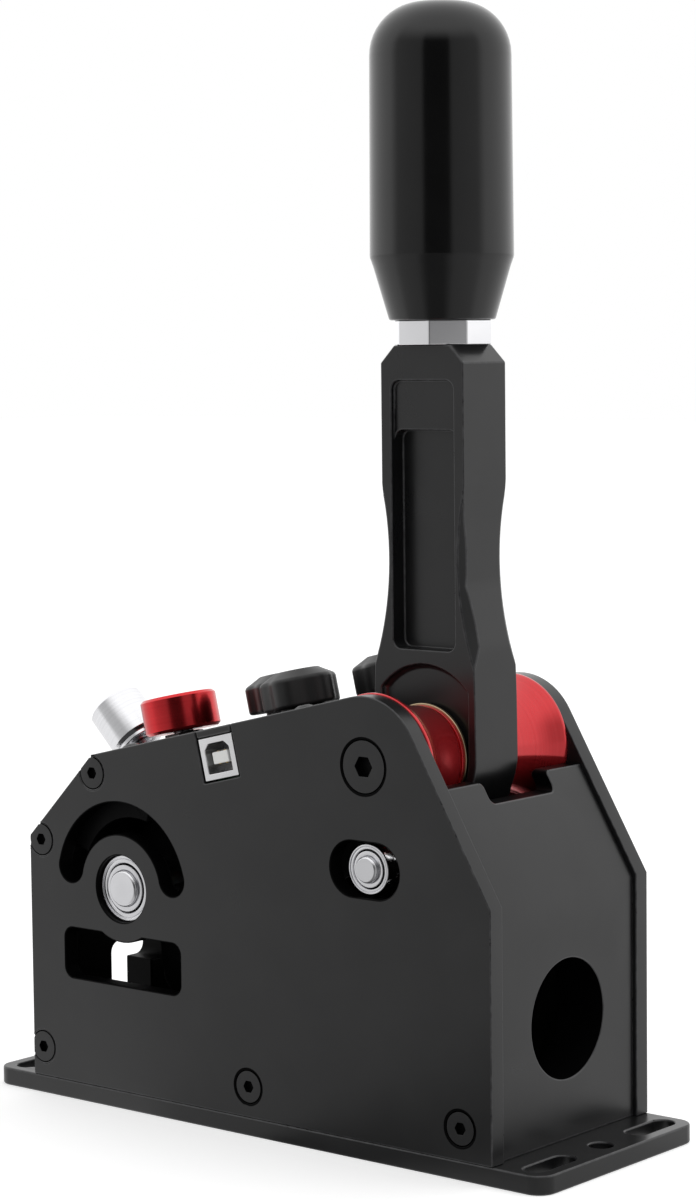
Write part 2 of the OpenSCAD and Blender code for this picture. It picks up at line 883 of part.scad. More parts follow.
module grip() {
    taper_h = 15.3;
    dome = 13.5;
    top_r = grip_top_d / 2;
    color(moulded_black) translate([pivot.x, 0, lever_top + collar_h]) difference() {
        rotate_extrude() {
            polygon([
                [0, 0], [grip_foot_d / 2, 0], [grip_d / 2 - 0.9, taper_h - 1.6], [grip_d / 2, taper_h + 1],
                [top_r, grip_h - dome], [0, grip_h - dome]
            ]);
            intersection() {
                translate([top_r - dome, grip_h - dome]) circle(dome);
                square([top_r, grip_h]);
            }
            translate([0, grip_h - dome - eps]) square([top_r - dome, dome + eps]);
        }
        translate([0, 0, -1]) cylinder(d = stud_d + 2 * touch, h = stud_up + 2);
    }
}

// Cross pin and rollers

module cross_pin() {
    l = 2 * (half_w - pin_short);
    color(bare_steel) along_y(pin, -l / 2) {
        cylinder(d1 = pin_d - 1, d2 = pin_d, h = 0.5);
        translate([0, 0, 0.5]) cylinder(d = pin_d, h = l - 1);
        translate([0, 0, l - 0.5]) cylinder(d1 = pin_d, d2 = pin_d - 1, h = 0.5);
    }
}

module ring(r_out, r_in, h) {
    difference() {
        cylinder(r = r_out, h = h);
        translate([0, 0, -1]) cylinder(r = r_in, h = h + 2);
    }
}

module pin_spacers() {
    color(bare_steel) both_sides() along_y(pin, lever_t / 2)
        ring(spacer_r, pin_d / 2 + touch, inner_y - lever_t / 2);
}

module roller_inner_rings() {
    color(bare_steel) both_sides() along_y(pin, inner_y) ring(ring_inner_r, pin_d / 2 + touch, roller_w);
}

// Outer ring of a ball bearing with its two shields set in from the faces
module bearing_shell(d, r_in, w) {
    lip = 0.3;
    land = (d / 2 - r_in) * 0.35;
    rotate_extrude() difference() {
        translate([r_in, 0]) square([d / 2 - r_in, w]);
        translate([r_in - 1, w - lip]) square([d / 2 - r_in - land + 1, 1]);
        translate([r_in - 1, lip - 1]) square([d / 2 - r_in - land + 1, 1]);
    }
}

module roller() {
    along_y(pin, inner_y) bearing_shell(roller_d, ring_outer_r, roller_w);
}

module right_roller() {
    color(bare_steel) roller();
}

module left_roller() {
    color(bare_steel) mirror([0, 1, 0]) roller();
}

// Link and rocker

module connecting_link() {
    inset = 2;
    dir = (rocker_end - pin) / norm(rocker_end - pin);
    from = pin + (eye_r + 5) * dir;
    to = rocker_end - (eye_r + 5) * dir;
    color(black_anodised) difference() {
        across(-link_t / 2, link_t / 2) {
            for (p = [pin, rocker_end]) translate(p) circle(eye_r);
            tapered_bar(pin, link_w / 2, rocker_end, link_w / 2);
        }
        both_sides() across(link_t / 2 - inset, link_t) tapered_bar(from, link_w / 4, to, link_w / 4);
        along_y(pin, -link_t) cylinder(d = pin_d + 2 * run_fit, h = 2 * link_t);
        along_y(rocker_end, -link_t) cylinder(d = pin_d + 2 * run_fit, h = 2 * link_t);
    }
}

// Sector of a disc between two angles less than half a turn apart
module sector(r, a0, a1) {
    far = 2 * r;
    mid = (a0 + a1) / 2;
    intersection() {
        circle(r);
        polygon([[0, 0], far * [cos(a0), sin(a0)], far * [cos(mid), sin(mid)], far * [cos(a1), sin(a1)]]);
    }
}

module rocker() {
    cheek_y = fork_gap / 2;
    color(black_anodised) difference() {
        union() {
            across(-quadrant_y, quadrant_y) translate(shaft) {
                circle(rocker_hub_r);
                sector(quadrant_r, quadrant_a0, quadrant_a1);
            }
            both_sides() across(cheek_y, cheek_y + cheek_t)
                tapered_bar(shaft, rocker_hub_r, rocker_end, eye_r);
        }
        along_y(shaft, -half_w) cylinder(d = shaft_d + 2 * touch, h = base_w);
        along_y(rocker_end, -half_w) cylinder(d = pin_d + 2 * touch, h = base_w);
        for (at = [[top_tilt, red_off], [nose_tilt, silver_off]], turn = [-swing, 0, swing])
            detent_axis(at[0] + turn, -half_w, at[1]) translate([0, 0, quadrant_r + notch_r * 0.6])
                rotate([-90, 0, 0]) cylinder(r = notch_r, h = base_w);
    }
}

module rocker_pin() {
    l = fork_gap + 2 * cheek_t;
    color(bare_steel) along_y(rocker_end, -l / 2) {
        cylinder(d = pin_d, h = l);
        translate([0, 0, -rocker_pin_head]) cylinder(d = pin_d + 2, h = rocker_pin_head);
        translate([0, 0, l]) cylinder(d = pin_d + 2, h = rocker_pin_head);
    }
}

module front_shaft() {
    l = 2 * (half_w - shaft_short);
    color(bare_steel) along_y(shaft, -l / 2) {
        cylinder(d1 = shaft_d - 1, d2 = shaft_d, h = 0.5);
        translate([0, 0, 0.5]) cylinder(d = shaft_d, h = l - 1);
        translate([0, 0, l - 0.5]) cylinder(d1 = shaft_d, d2 = shaft_d - 1, h = 0.5);
    }
}

module shaft_spacers() {
    color(bare_steel) both_sides() along_y(shaft, quadrant_y)
        ring(shaft_ring_inner_r, shaft_d / 2 + touch, inner_y - quadrant_y);
}

module shaft_inner_rings() {
    color(bare_steel) both_sides() along_y(shaft, inner_y)
        ring(shaft_ring_inner_r, shaft_d / 2 + touch, shaft_bearing_w);
}

module shaft_outer_rings() {
    color(bare_steel) both_sides() along_y(shaft, inner_y)
        bearing_shell(shaft_bearing_d, shaft_ring_outer_r, shaft_bearing_w);
}

// Detents and their adjusters

module plunger() {
    tip = quadrant_r + nose_gap + plunger_d / 2;
    translate([0, 0, tip]) {
        sphere(d = plunger_d);
        cylinder(d = plunger_d, h = plunger_l);
        cylinder(d = spigot_d, h = plunger_l + spigot_l);
    }
}

// Coil spring as one tube swept along a helix
spring_r = (spring_d - spring_wire) / 2;
spring_steps = 8;
spring_sides = 6;
spring_rise = spring_l - spring_wire - 2 * touch;
spring_points = [for (i = [0:spring_turns * spring_steps])
    let (a = 360 * i / spring_steps)
    [spring_r * cos(a), spring_r * sin(a), spring_rise * i / (spring_turns * spring_steps)]];
spring_self_gap = min([for (i = [0:len(spring_points) - 1], j = [0:len(spring_points) - 1])
    if (j > i + spring_steps / 2) norm(spring_points[j] - spring_points[i])]) - spring_wire;
echo(spring_self_gap = spring_self_gap);

module coil_spring() {
    n = len(spring_points);
    k = spring_sides;
    pitch_a = atan2(spring_rise / spring_turns, 2 * PI * spring_r);
    ring_points = [for (i = [0:n - 1], j = [0:k - 1])
        let (a = 360 * i / spring_steps, b = 360 * j / k)
        let (out = [cos(a), sin(a), 0], up = [sin(a) * sin(pitch_a), -cos(a) * sin(pitch_a), cos(pitch_a)])
        spring_points[i] + spring_wire / 2 * (cos(b) * out + sin(b) * up)];
    walls = [for (i = [0:n - 2], j = [0:k - 1]) let (m = (j + 1) % k)
        each [[i * k + j, (i + 1) * k + j, i * k + m], [i * k + m, (i + 1) * k + j, (i + 1) * k + m]]];
    first = [for (j = [1:k - 2]) [0, j, j + 1]];
    last = [for (j = [1:k - 2]) [(n - 1) * k, (n - 1) * k + j + 1, (n - 1) * k + j]];
    polyhedron(ring_points, concat(walls, first, last));
}

module detent_spring() {
    seat = quadrant_r + nose_gap + plunger_d / 2 + plunger_l;
    translate([0, 0, seat + spring_wire / 2 + touch]) coil_spring();
}

module adjuster_screw(knob_at, grip_in) {
    translate([0, 0, screw_tip]) cylinder(d = plunger_d, h = knob_at + grip_in - screw_tip);
}

// Turned knob with broken edges and a blind hole for its screw
module turned_knob(d, h, hole) {
    difference() {
        rotate_extrude() polygon([
            [0, 0], [d / 2 - knob_chamfer, 0], [d / 2, knob_chamfer], [d / 2, h - knob_chamfer],
            [d / 2 - knob_chamfer, h], [0, h]
        ]);
        translate([0, 0, -1]) cylinder(d = plunger_d + 2 * touch, h = hole + 1);
    }
}

module lock_nut() {
    difference() {
        cylinder(d = nut_af / cos(30), h = nut_h, $fn = 6);
        translate([0, 0, -1]) cylinder(d = plunger_d + 2 * run_fit, h = nut_h + 2);
    }
}

knob_hole = 6;
red_at = top_reach + red_gap;
silver_at = nose_reach + silver_gap;
silver_step_h = 1.2;
silver_step_d = 14;

module red_plunger() {
    color(bare_steel) detent_axis(top_tilt, 0, red_off) plunger();
}

module red_spring() {
    color(bare_steel) detent_axis(top_tilt, 0, red_off) detent_spring();
}

module red_adjuster_screw() {
    color(bare_steel) detent_axis(top_tilt, 0, red_off) adjuster_screw(red_at, knob_hole);
}

module red_knob() {
    color(red_anodised) detent_axis(top_tilt, 0, red_off) translate([0, 0, red_at])
        turned_knob(red_d, red_h, knob_hole);
}

module red_lock_nut() {
    color(black_anodised) detent_axis(top_tilt, 0, red_off)
        translate([0, 0, top_reach - cover_drop]) lock_nut();
}

module silver_plunger() {
    color(bare_steel) detent_axis(nose_tilt, silver_y, silver_off) plunger();
}

module silver_spring() {
    color(bare_steel) detent_axis(nose_tilt, silver_y, silver_off) detent_spring();
}

module silver_adjuster_screw() {
    color(bare_steel) detent_axis(nose_tilt, silver_y, silver_off) adjuster_screw(silver_at, knob_hole);
}

module silver_knob() {
    color(polished) detent_axis(nose_tilt, silver_y, silver_off) translate([0, 0, silver_at]) difference() {
        union() {
            translate([0, 0, silver_step_h]) turned_knob(silver_d, silver_h - silver_step_h, 1);
            cylinder(d = silver_step_d, h = silver_step_h);
        }
        translate([0, 0, -1]) cylinder(d = plunger_d + 2 * touch, h = knob_hole + 1);
    }
}

module silver_lock_nut() {
    color(black_anodised) detent_axis(nose_tilt, silver_y, silver_off)
        translate([0, 0, nose_reach - nose_recess])
        lock_nut();
}

// Star knobs

// Lobed body under a sloped shoulder and a flat cap
module star_knob() {
    slope = 2 * star_cap_h / (star_d - star_cap_d);
    translate([0, 0, star_low]) difference() {
        union() {
            intersection() {
                linear_extrude(height = star_h + star_cap_h + 1) difference() {
                    circle(d = star_d);
                    for (i = [0:star_lobes - 1]) rotate(star_turn + 360 * (i + 0.5) / star_lobes)
                        translate([star_d / 2 + star_valley_r - star_valley_deep, 0]) circle(star_valley_r);
                }
                rotate_extrude() polygon([
                    [0, -1], [star_d / 2 + 1, -1], [star_d / 2 + 1, star_h - slope],
                    [star_cap_d / 2, star_h + star_cap_h], [0, star_h + star_cap_h]
                ]);
            }
            translate([0, 0, -star_low - cover_drop + star_gap])
                cylinder(d = star_cap_d, h = star_low + cover_drop + 1 - star_gap);
        }
        translate([0, 0, -star_low - cover_drop - 1])
            cylinder(d = star_stud_d + 2 * touch, h = star_h + star_low + cover_drop - 2);
    }
}

module star_stud(reach) {
    translate([0, 0, cover_under - reach])
        cylinder(d = star_stud_d, h = reach - cover_under + star_h - 4 + star_low);
}

module at_star(p, lift = 0) {
    on_top_frame() translate([p.x, p.y, lift]) children();
}

module front_star_knob() {
    color(moulded_black) at_star(front_star) star_knob();
}

module front_star_stud() {
    color(bare_steel) at_star(front_star) star_stud(star_stud_l);
}

module left_star_knob() {
    color(moulded_black) at_star(left_star, left_star_lift) star_knob();
}

module left_star_stud() {
    color(bare_steel) at_star(left_star, left_star_lift) star_stud(star_stud_l);
}

module rear_star_knob() {
    color(moulded_black) at_star(rear_star) star_knob();
}

module rear_star_stud() {
    color(bare_steel) at_star(rear_star) star_stud(bar_h);
}

// Electronics

module sensor_tray() {
    low = board_top - cover_under;
    color(black_anodised) difference() {
        union() {
            top_box(tray_u, tray_y, [cover_under - tray_t, cover_under]);
            for (p = [front_star, left_star]) at_star(p) translate([0, 0, cover_under - star_stud_l])
                cylinder(d = tray_boss_d, h = star_stud_l - tray_t + 1);
        }
        for (p = [front_star, left_star]) at_star(p) translate([0, 0, cover_under - star_stud_l - 1])
            cylinder(d = star_stud_d + 2 * run_fit, h = star_stud_l + 2);
        at_posts() translate([0, 0, low]) cylinder(d = m25 + 2 * touch, h = 2 * tray_t - low);
    }
}

module at_posts() {
    on_top_frame() for (u = post_u, y = post_y) translate([u, y, cover_under]) children();
}

module board_standoffs() {
    h = cover_under - tray_t - board_top;
    color(bare_steel) at_posts() translate([0, 0, -tray_t - h]) ring(post_d / 2, m25 / 2 + touch, h);
}

module circuit_board() {
    color(board_green) difference() {
        top_box(board_u, board_y, [board_top - board_t, board_top]);
        at_posts() translate([0, 0, board_top - board_t - 1 - cover_under])
            cylinder(d = m25 + 2 * touch, h = board_t + 2);
    }
}

module board_screws() {
    head = 1.6;
    low = board_top - board_t - cover_under;
    color(bare_steel) at_posts() translate([0, 0, low - head]) {
        cylinder(d = 2 * m25 - 0.4, h = head);
        cylinder(d = m25, h = head - low - 0.2);
    }
}

// Hall sensor at the lever's end of the board, a controller chip and a small header
module board_parts() {
    color(moulded_black) {
        top_box([board_u[1] - 6, board_u[1] - 2], [-2, 2], [board_top, board_top + 1.6]);
        top_box([usb_u - 5, usb_u + 5], [-2, 8], [board_top - board_t - 1.2, board_top - board_t]);
        top_box([board_u[1] - 12, board_u[1] - 8], [1 - inner_y, 11 - inner_y], [board_top, board_top + 5]);
    }
}

module usb_shell() {
    y0 = -half_w + usb_recess;
    corner = 1.6;
    color(polished) difference() {
        top_box([usb_u - usb_w / 2, usb_u + usb_w / 2], [y0, y0 + usb_l], [usb_top - usb_h, usb_top]);
        on_top_frame() translate([usb_u, y0 - 1, usb_top - usb_h / 2]) rotate([-90, 0, 0])
            linear_extrude(height = usb_l - usb_wall) polygon([
                [-usb_mouth_w / 2, usb_mouth_h / 2], [usb_mouth_w / 2, usb_mouth_h / 2],
                [usb_mouth_w / 2, corner - usb_mouth_h / 2], [usb_mouth_w / 2 - corner, -usb_mouth_h / 2],
                [corner - usb_mouth_w / 2, -usb_mouth_h / 2], [-usb_mouth_w / 2, corner - usb_mouth_h / 2]
            ]);
    }
}

module usb_tongue() {
    y0 = -half_w + usb_recess;
    mid = usb_top - usb_h / 2;
    color("white") top_box([usb_u - tongue_w / 2, usb_u + tongue_w / 2],
        [y0 + tongue_back, y0 + usb_l - usb_wall - 1], [mid - tongue_h / 2, mid + tongue_h / 2]);
}

base_plate();
left_side_plate();
right_side_plate();
front_end_cover();
rear_end_cover();
top_cover();
detent_block();
foot_block();
cover_support_bar();
side_screws();
pivot_screws();
base_screws();
cover_screws();
pivot_axle();
left_pivot_bush();
right_pivot_bush();
thrust_washers();
lever();
lever_bearings();
grip_stud();
lock_collar();
grip();
magnet();
cross_pin();
pin_spacers();
roller_inner_rings();
left_roller();
right_roller();
connecting_link();
rocker();
rocker_pin();
front_shaft();
shaft_spacers();
shaft_inner_rings();
shaft_outer_rings();
red_plunger();
red_spring();
red_adjuster_screw();
red_knob();
red_lock_nut();
silver_plunger();
silver_spring();
silver_adjuster_screw();
silver_knob();
silver_lock_nut();
front_star_knob();
front_star_stud();
left_star_knob();
left_star_stud();
rear_star_knob();
rear_star_stud();
sensor_tray();
circuit_board();
board_standoffs();
board_screws();
board_parts();
usb_shell();
usb_tongue();
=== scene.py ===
"""Dressed model of a sequential gear shifter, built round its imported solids."""

import json
import logging
import math
from contextlib import contextmanager
from dataclasses import dataclass
from enum import Enum
from typing import Any, Callable, Iterator, Sequence

import bmesh
import bpy
from mathutils import Matrix, Vector

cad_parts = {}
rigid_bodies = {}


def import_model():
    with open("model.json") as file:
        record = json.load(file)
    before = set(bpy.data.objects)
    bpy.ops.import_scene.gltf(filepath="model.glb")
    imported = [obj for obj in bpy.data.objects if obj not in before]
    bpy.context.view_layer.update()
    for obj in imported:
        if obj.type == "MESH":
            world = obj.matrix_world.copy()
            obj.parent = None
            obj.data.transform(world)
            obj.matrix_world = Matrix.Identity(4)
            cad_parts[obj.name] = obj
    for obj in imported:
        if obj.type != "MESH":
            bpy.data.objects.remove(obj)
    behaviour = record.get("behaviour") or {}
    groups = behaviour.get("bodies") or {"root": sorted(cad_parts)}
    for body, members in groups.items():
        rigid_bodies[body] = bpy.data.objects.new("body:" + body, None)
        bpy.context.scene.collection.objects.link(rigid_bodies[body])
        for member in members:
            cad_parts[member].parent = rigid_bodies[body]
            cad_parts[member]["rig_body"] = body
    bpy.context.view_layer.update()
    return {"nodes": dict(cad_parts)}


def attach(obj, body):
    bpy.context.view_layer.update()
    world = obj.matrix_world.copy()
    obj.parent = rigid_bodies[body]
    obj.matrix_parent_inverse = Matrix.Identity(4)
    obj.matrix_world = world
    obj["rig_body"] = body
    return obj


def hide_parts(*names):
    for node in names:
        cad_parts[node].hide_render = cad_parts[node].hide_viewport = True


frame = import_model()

LOG = logging.getLogger("gear_shifter")
MM = 0.001

# Material slots of a machined piece, after its own finish: broken edges painted lighter as a painted
# highlight, then near-black painted shade for hollows and hidden faces
EDGE_SLOT, SHADE_SLOT = 1, 2
# No slot, or no axis
NONE = -1
Y_AXIS, Z_AXIS = 1, 2
# Distance in metres within which points are one
MERGED = 1e-6
# Angles past which an edge stays sharp on turned work and threads, and is broken on plates
SHARP_TURNED, SHARP_THREAD, SHARP_PLATE = (math.radians(angle) for angle in (34, 25, 32))
# Shares of a normal along an axis that make a face a wall, and a flat
WALL_TILT, FLAT_TILT = 0.2, 0.98
# Facets round large turned pieces
FACETS = 128

Corner = tuple[float, float, float]
Outline = list[tuple[float, float]]
Shade = tuple[float, float, float]


class Part(Enum):
    """Kind of mesh element that a selection picks."""

    EDGE = "EDGE"
    FACE = "FACE"


class Side(Enum):
    """Side of the shifter, as the sign of Y."""

    LEFT = -1
    RIGHT = 1


class Coat(Enum):
    """Finish of a surface."""

    PLATE = "black_anodised"
    # Broken edges in a lighter black: painted highlight along the edges, with rubbed wear patches
    PLATE_EDGE = "black_anodised_edge"
    LEVER = "black_lever"
    # The lever's broken edges, lighter in the same way: painted highlight with rubbed wear
    LEVER_EDGE = "black_lever_edge"
    OXIDE = "black_oxide"
    # Near-black painted shade for hollows, opening walls and hidden parts inside
    INNER = "black_inside"
    RED_ACROSS = "red_anodised_across"
    RED_UP = "red_anodised_up"
    BRASS = "brass"
    STEEL = "ground_steel"
    # Outer ring of a bearing, painted much darker than its steel: painted shade
    RACE = "bearing_race"
    RING_PIN = "bearing_ring_pin"
    RING_SHAFT = "bearing_ring_shaft"
    THREAD = "threaded_steel"
    ALLOY = "bright_alloy"
    ALLOY_KNOB = "bright_alloy_knob"
    GRIP = "grip_black"
    STAR = "knob_plastic"
    BOARD = "circuit_board"
    CHIP = "chip_plastic"
    WHITE = "white_plastic"
    TIN = "tinned_shell"
    GOLD = "gold_contact"


@dataclass(frozen=True)
class Layout:
    """Main places of the shifter in millimetres, as X and Z of the side view."""

    pivot: tuple[float, float] = (40.5, 101.5)
    cross_pin: tuple[float, float] = (40.5, 75.1)
    shaft: tuple[float, float] = (-45.5, 61.0)
    nose_top: tuple[float, float] = (-56.0, 97.0)
    top_tilt: float = 13.4083
    nose_tilt: float = 45.0
    red_off: float = 1.9
    silver_off: float = 1.1
    silver_y: float = 8.0
    half_width: float = 34.0
    inner: float = 29.0

    def across(self, point: tuple[float, float], reach: float, side: Side) -> Matrix:
        """Frame whose Z axis runs out through one side plate.

        Args:
            point: X and Z of the axis.
            reach: Distance of the origin from the middle plane.
            side: Side that the axis points to.

        Returns:
            The frame in metres.
        """
        turn = Matrix.Rotation(-side.value * math.pi / 2, 4, "X")
        return Matrix.Translation(Vector((point[0], side.value * reach, point[1])) * MM) @ turn

    def tilted(self, origin: tuple[float, float], tilt: float, along: float, y: float, out: float) -> Matrix:
        """Frame on a sloped face, with Z square to the face.

        Args:
            origin: X and Z where the face's own coordinates start.
            tilt: Slope of the face in degrees.
            along: Distance up the slope.
            y: Place across the shifter.
            out: Distance square to the face.

        Returns:
            The frame in metres.
        """
        angle = math.radians(tilt)
        x = origin[0] + along * math.cos(angle) - out * math.sin(angle)
        z = origin[1] + along * math.sin(angle) + out * math.cos(angle)
        return Matrix.Translation(Vector((x, y, z)) * MM) @ Matrix.Rotation(-angle, 4, "Y")

    def on_top(self, along: float, y: float, out: float = 0.0) -> Matrix:
        """Frame on the sloped top."""
        return self.tilted(self.nose_top, self.top_tilt, along, y, out)

    def red_axis(self, out: float) -> Matrix:
        """Frame on the red adjuster's axis, a distance out from the front shaft."""
        return self.tilted(self.shaft, self.top_tilt, self.red_off, 0.0, out)

    def silver_axis(self, out: float) -> Matrix:
        """Frame on the silver adjuster's axis, a distance out from the front shaft."""
        return self.tilted(self.shaft, self.nose_tilt, self.silver_off, self.silver_y, out)


def rounded(corners: Sequence[Corner], closed: bool = False, segments: int = 5) -> Outline:
    """Outline with every corner rounded by its own radius.

    Args:
        corners: Radius, height and rounding of each corner, in millimetres.
        closed: Whether the last corner joins the first.
        segments: Steps in each rounding.

    Returns:
        The points of the outline, the first one repeated when closed.
    """
    points: list[Vector] = []
    nearly_straight, most_of_side = math.pi / 2 - 0.02, 0.49
    count = len(corners)
    for index, (r, z, radius) in enumerate(corners):
        here = Vector((r, z))
        if radius <= 0 or (not closed and index in (0, count - 1)):
            points.append(here)
            continue
        before = Vector(corners[index - 1][:2]) - here
        after = Vector(corners[(index + 1) % count][:2]) - here
        half = before.angle(after) / 2
        if half > nearly_straight:
            points.append(here)
            continue
        reach = min(radius / math.tan(half), before.length * most_of_side, after.length * most_of_side)
        radius = reach * math.tan(half)
        centre = here + (before.normalized() + after.normalized()).normalized() * radius / math.sin(half)
        start = here + before.normalized() * reach - centre
        end = here + after.normalized() * reach - centre
        sweep = start.angle(end)
        for step in range(segments + 1):
            t = step / segments
            blend = (start * math.sin((1 - t) * sweep) + end * math.sin(t * sweep)) / math.sin(sweep)
            points.append(centre + blend)
    outline = [(p.x, p.y) for p in points]
    return outline + outline[:1] if closed else outline


class Bench:
    """Modelling steps shared by the pieces, each a short run of operators."""

    @staticmethod
    def clear() -> None:
        """Leaves edit mode and deselects everything."""
        if bpy.context.object is not None and bpy.context.object.mode != "OBJECT":
            bpy.ops.object.mode_set(mode="OBJECT")
        bpy.ops.object.select_all(action="DESELECT")

    @staticmethod
    def take(obj: bpy.types.Object) -> None:
        """Selects one object alone and makes it active."""
        Bench.clear()
        obj.select_set(True)
        bpy.context.view_layer.objects.active = obj

    @staticmethod
    @contextmanager
    def editing(obj: bpy.types.Object, everything: bool = False) -> Iterator[None]:
        """Holds an object in edit mode.

        Args:
            obj: Object to edit.
            everything: Whether all of it starts selected.

        Returns:
            Nothing, for the length of the with block.
        """
        Bench.take(obj)
        bpy.ops.object.mode_set(mode="EDIT")
        bpy.ops.mesh.select_mode(type="VERT")
        bpy.ops.mesh.select_all(action="SELECT" if everything else "DESELECT")
        yield
        bpy.ops.object.mode_set(mode="OBJECT")

    @staticmethod
    def pick(obj: bpy.types.Object, part: Part, rule: Callable[[Any], bool]) -> int:
        """Selects the elements that follow a rule, in edit mode.

        Args:
            obj: Object in edit mode.
            part: Kind of element.
            rule: Test on one element.

        Returns:
            How many were selected.
        """
        bpy.ops.mesh.select_all(action="DESELECT")
        bpy.ops.mesh.select_mode(type=part.value)
        mesh = bmesh.from_edit_mesh(obj.data)
        mesh.normal_update()
        elements = {Part.EDGE: mesh.edges, Part.FACE: mesh.faces}[part]
        chosen = [element for element in elements if rule(element)]
        for element in chosen:
            element.select_set(True)
        bmesh.update_edit_mesh(obj.data)
        return len(chosen)

    @staticmethod
    def close_up(obj: bpy.types.Object) -> None:
        """Merges doubled points and turns all faces outwards."""
        with Bench.editing(obj, everything=True):
            bpy.ops.mesh.remove_doubles(threshold=MERGED)
            bpy.ops.mesh.normals_make_consistent(inside=False)

    @staticmethod
    def chain(name: str, outline: Outline) -> bpy.types.Object:
        """String of edges along an outline in the XZ plane.

        Args:
            name: Name of the new object.
            outline: Radius and height of each point in millimetres.

        Returns:
            The new object.
        """
        Bench.clear()
        bpy.ops.mesh.primitive_plane_add(size=MM)
        obj = bpy.context.active_object
        obj.name = obj.data.name = name
        points = [Vector((r, 0.0, z)) * MM for r, z in outline]
        with Bench.editing(obj, everything=True):
            bpy.ops.mesh.merge(type="CENTER")
            bpy.ops.transform.translate(value=tuple(points[0]))
            for before, after in zip(points, points[1:]):
                bpy.ops.mesh.extrude_vertices_move(TRANSFORM_OT_translate={"value": tuple(after - before)})
        return obj

    @staticmethod
    def lathe(name: str, outline: Outline, steps: int = 96) -> bpy.types.Object:
        """Turned piece: an outline spun round the Z axis.

        Args:
            name: Name of the new object.
            outline: Radius and height of each point in millimetres.
            steps: Facets round the axis.

        Returns:
            The new object.
        """
        obj = Bench.chain(name, outline)
        with Bench.editing(obj, everything=True):
            bpy.ops.mesh.spin(steps=steps, angle=2 * math.pi, center=(0, 0, 0), axis=(0, 0, 1))
        Bench.close_up(obj)
        Bench.take(obj)
        bpy.ops.object.shade_smooth_by_angle(angle=SHARP_TURNED)
        return obj

    @staticmethod
    def thread(name: str, major: float, minor: float, pitch: float, length: float) -> bpy.types.Object:
        """Threaded rod that stands on the XY plane.

        Args:
            name: Name of the new object.
            major: Radius over the crests in millimetres.
            minor: Radius at the roots.
            pitch: Rise of one turn.
            length: Length of the rod.

        Returns:
            The new object.
        """
        flat = pitch / 8
        crest = (pitch - 2 * flat) / 2
        turn = [(minor, 0), (minor, flat), (major, crest), (major, crest + flat), (minor, pitch)]
        obj = Bench.chain(name, turn)
        screw = obj.modifiers.new("thread", "SCREW")
        screw.angle = 2 * math.pi
        screw.screw_offset = pitch * MM
        screw.iterations = max(1, int(length / pitch) - 1)
        screw.steps = screw.render_steps = 32
        screw.use_merge_vertices = True
        screw.merge_threshold = MERGED
        Bench.apply(obj, screw)
        with Bench.editing(obj, everything=True):
            bpy.ops.mesh.remove_doubles(threshold=MERGED)
            Bench.pick(obj, Part.EDGE, lambda edge: edge.is_boundary)
            bpy.ops.mesh.edge_face_add()
            bpy.ops.mesh.select_all(action="SELECT")
            bpy.ops.mesh.fill_holes(sides=0)
            bpy.ops.mesh.normals_make_consistent(inside=False)
        Bench.take(obj)
        bpy.ops.object.shade_smooth_by_angle(angle=SHARP_THREAD)
        return obj

    @staticmethod
    def apply(obj: bpy.types.Object, modifier: bpy.types.Modifier) -> None:
        """Applies one modifier."""
        Bench.take(obj)
        bpy.ops.object.modifier_apply(modifier=modifier.name)

    @staticmethod
    def place(obj: bpy.types.Object, matrix: Matrix) -> bpy.types.Object:
        """Moves an object's mesh to its place and leaves the object at the origin."""
        obj.matrix_world = matrix
        Bench.take(obj)
        bpy.ops.object.transform_apply(location=True, rotation=True, scale=True)
        return obj

    @staticmethod
    def twin(obj: bpy.types.Object, name: str) -> bpy.types.Object:
        """Copy of an object with its own mesh."""
        Bench.take(obj)
        bpy.ops.object.duplicate(linked=False)
        copy = bpy.context.active_object
        copy.name = copy.data.name = name
        return copy

    @staticmethod
    def cut(obj: bpy.types.Object, cutter: bpy.types.Object) -> None:
        """Cuts one object out of another and removes the cutter."""
        boolean = obj.modifiers.new("cut", "BOOLEAN")
        boolean.operation = "DIFFERENCE"
        boolean.solver = "EXACT"
        boolean.object = cutter
        Bench.apply(obj, boolean)
        bpy.data.objects.remove(cutter)

    @staticmethod
    def join(first: bpy.types.Object, *others: bpy.types.Object) -> bpy.types.Object:
        """Joins objects into the first one."""
        Bench.take(first)
        for other in others:
            other.select_set(True)
        bpy.ops.object.join()
        return first

    @staticmethod
    def break_edges(
        obj: bpy.types.Object, width: float, segments: int = 3, edge_slot: int = NONE, square_to: int = NONE
    ) -> None:
        """Rounds every sharp edge and evens out the shading.

        Args:
            obj: Object with a closed mesh.
            width: Width of the rounding in millimetres.
            segments: Steps across the rounding.
            edge_slot: Material slot of the rounded faces, or NONE for that of their neighbours.
            square_to: Axis that a plate lies square to, so that its countersinks stay sharp, or NONE.
        """
        low = [min(vert.co[axis] for vert in obj.data.vertices) for axis in range(3)]
        high = [max(vert.co[axis] for vert in obj.data.vertices) for axis in range(3)]

        def plain(edge: bmesh.types.BMEdge) -> bool:
            """Whether an edge is sharp and not part of a countersink."""
            tilts = [abs(face.normal[square_to]) for face in edge.link_faces]
            straight = len(tilts) == 2 and all(tilt < WALL_TILT or tilt > FLAT_TILT for tilt in tilts)
            return straight and edge.calc_face_angle() > SHARP_PLATE

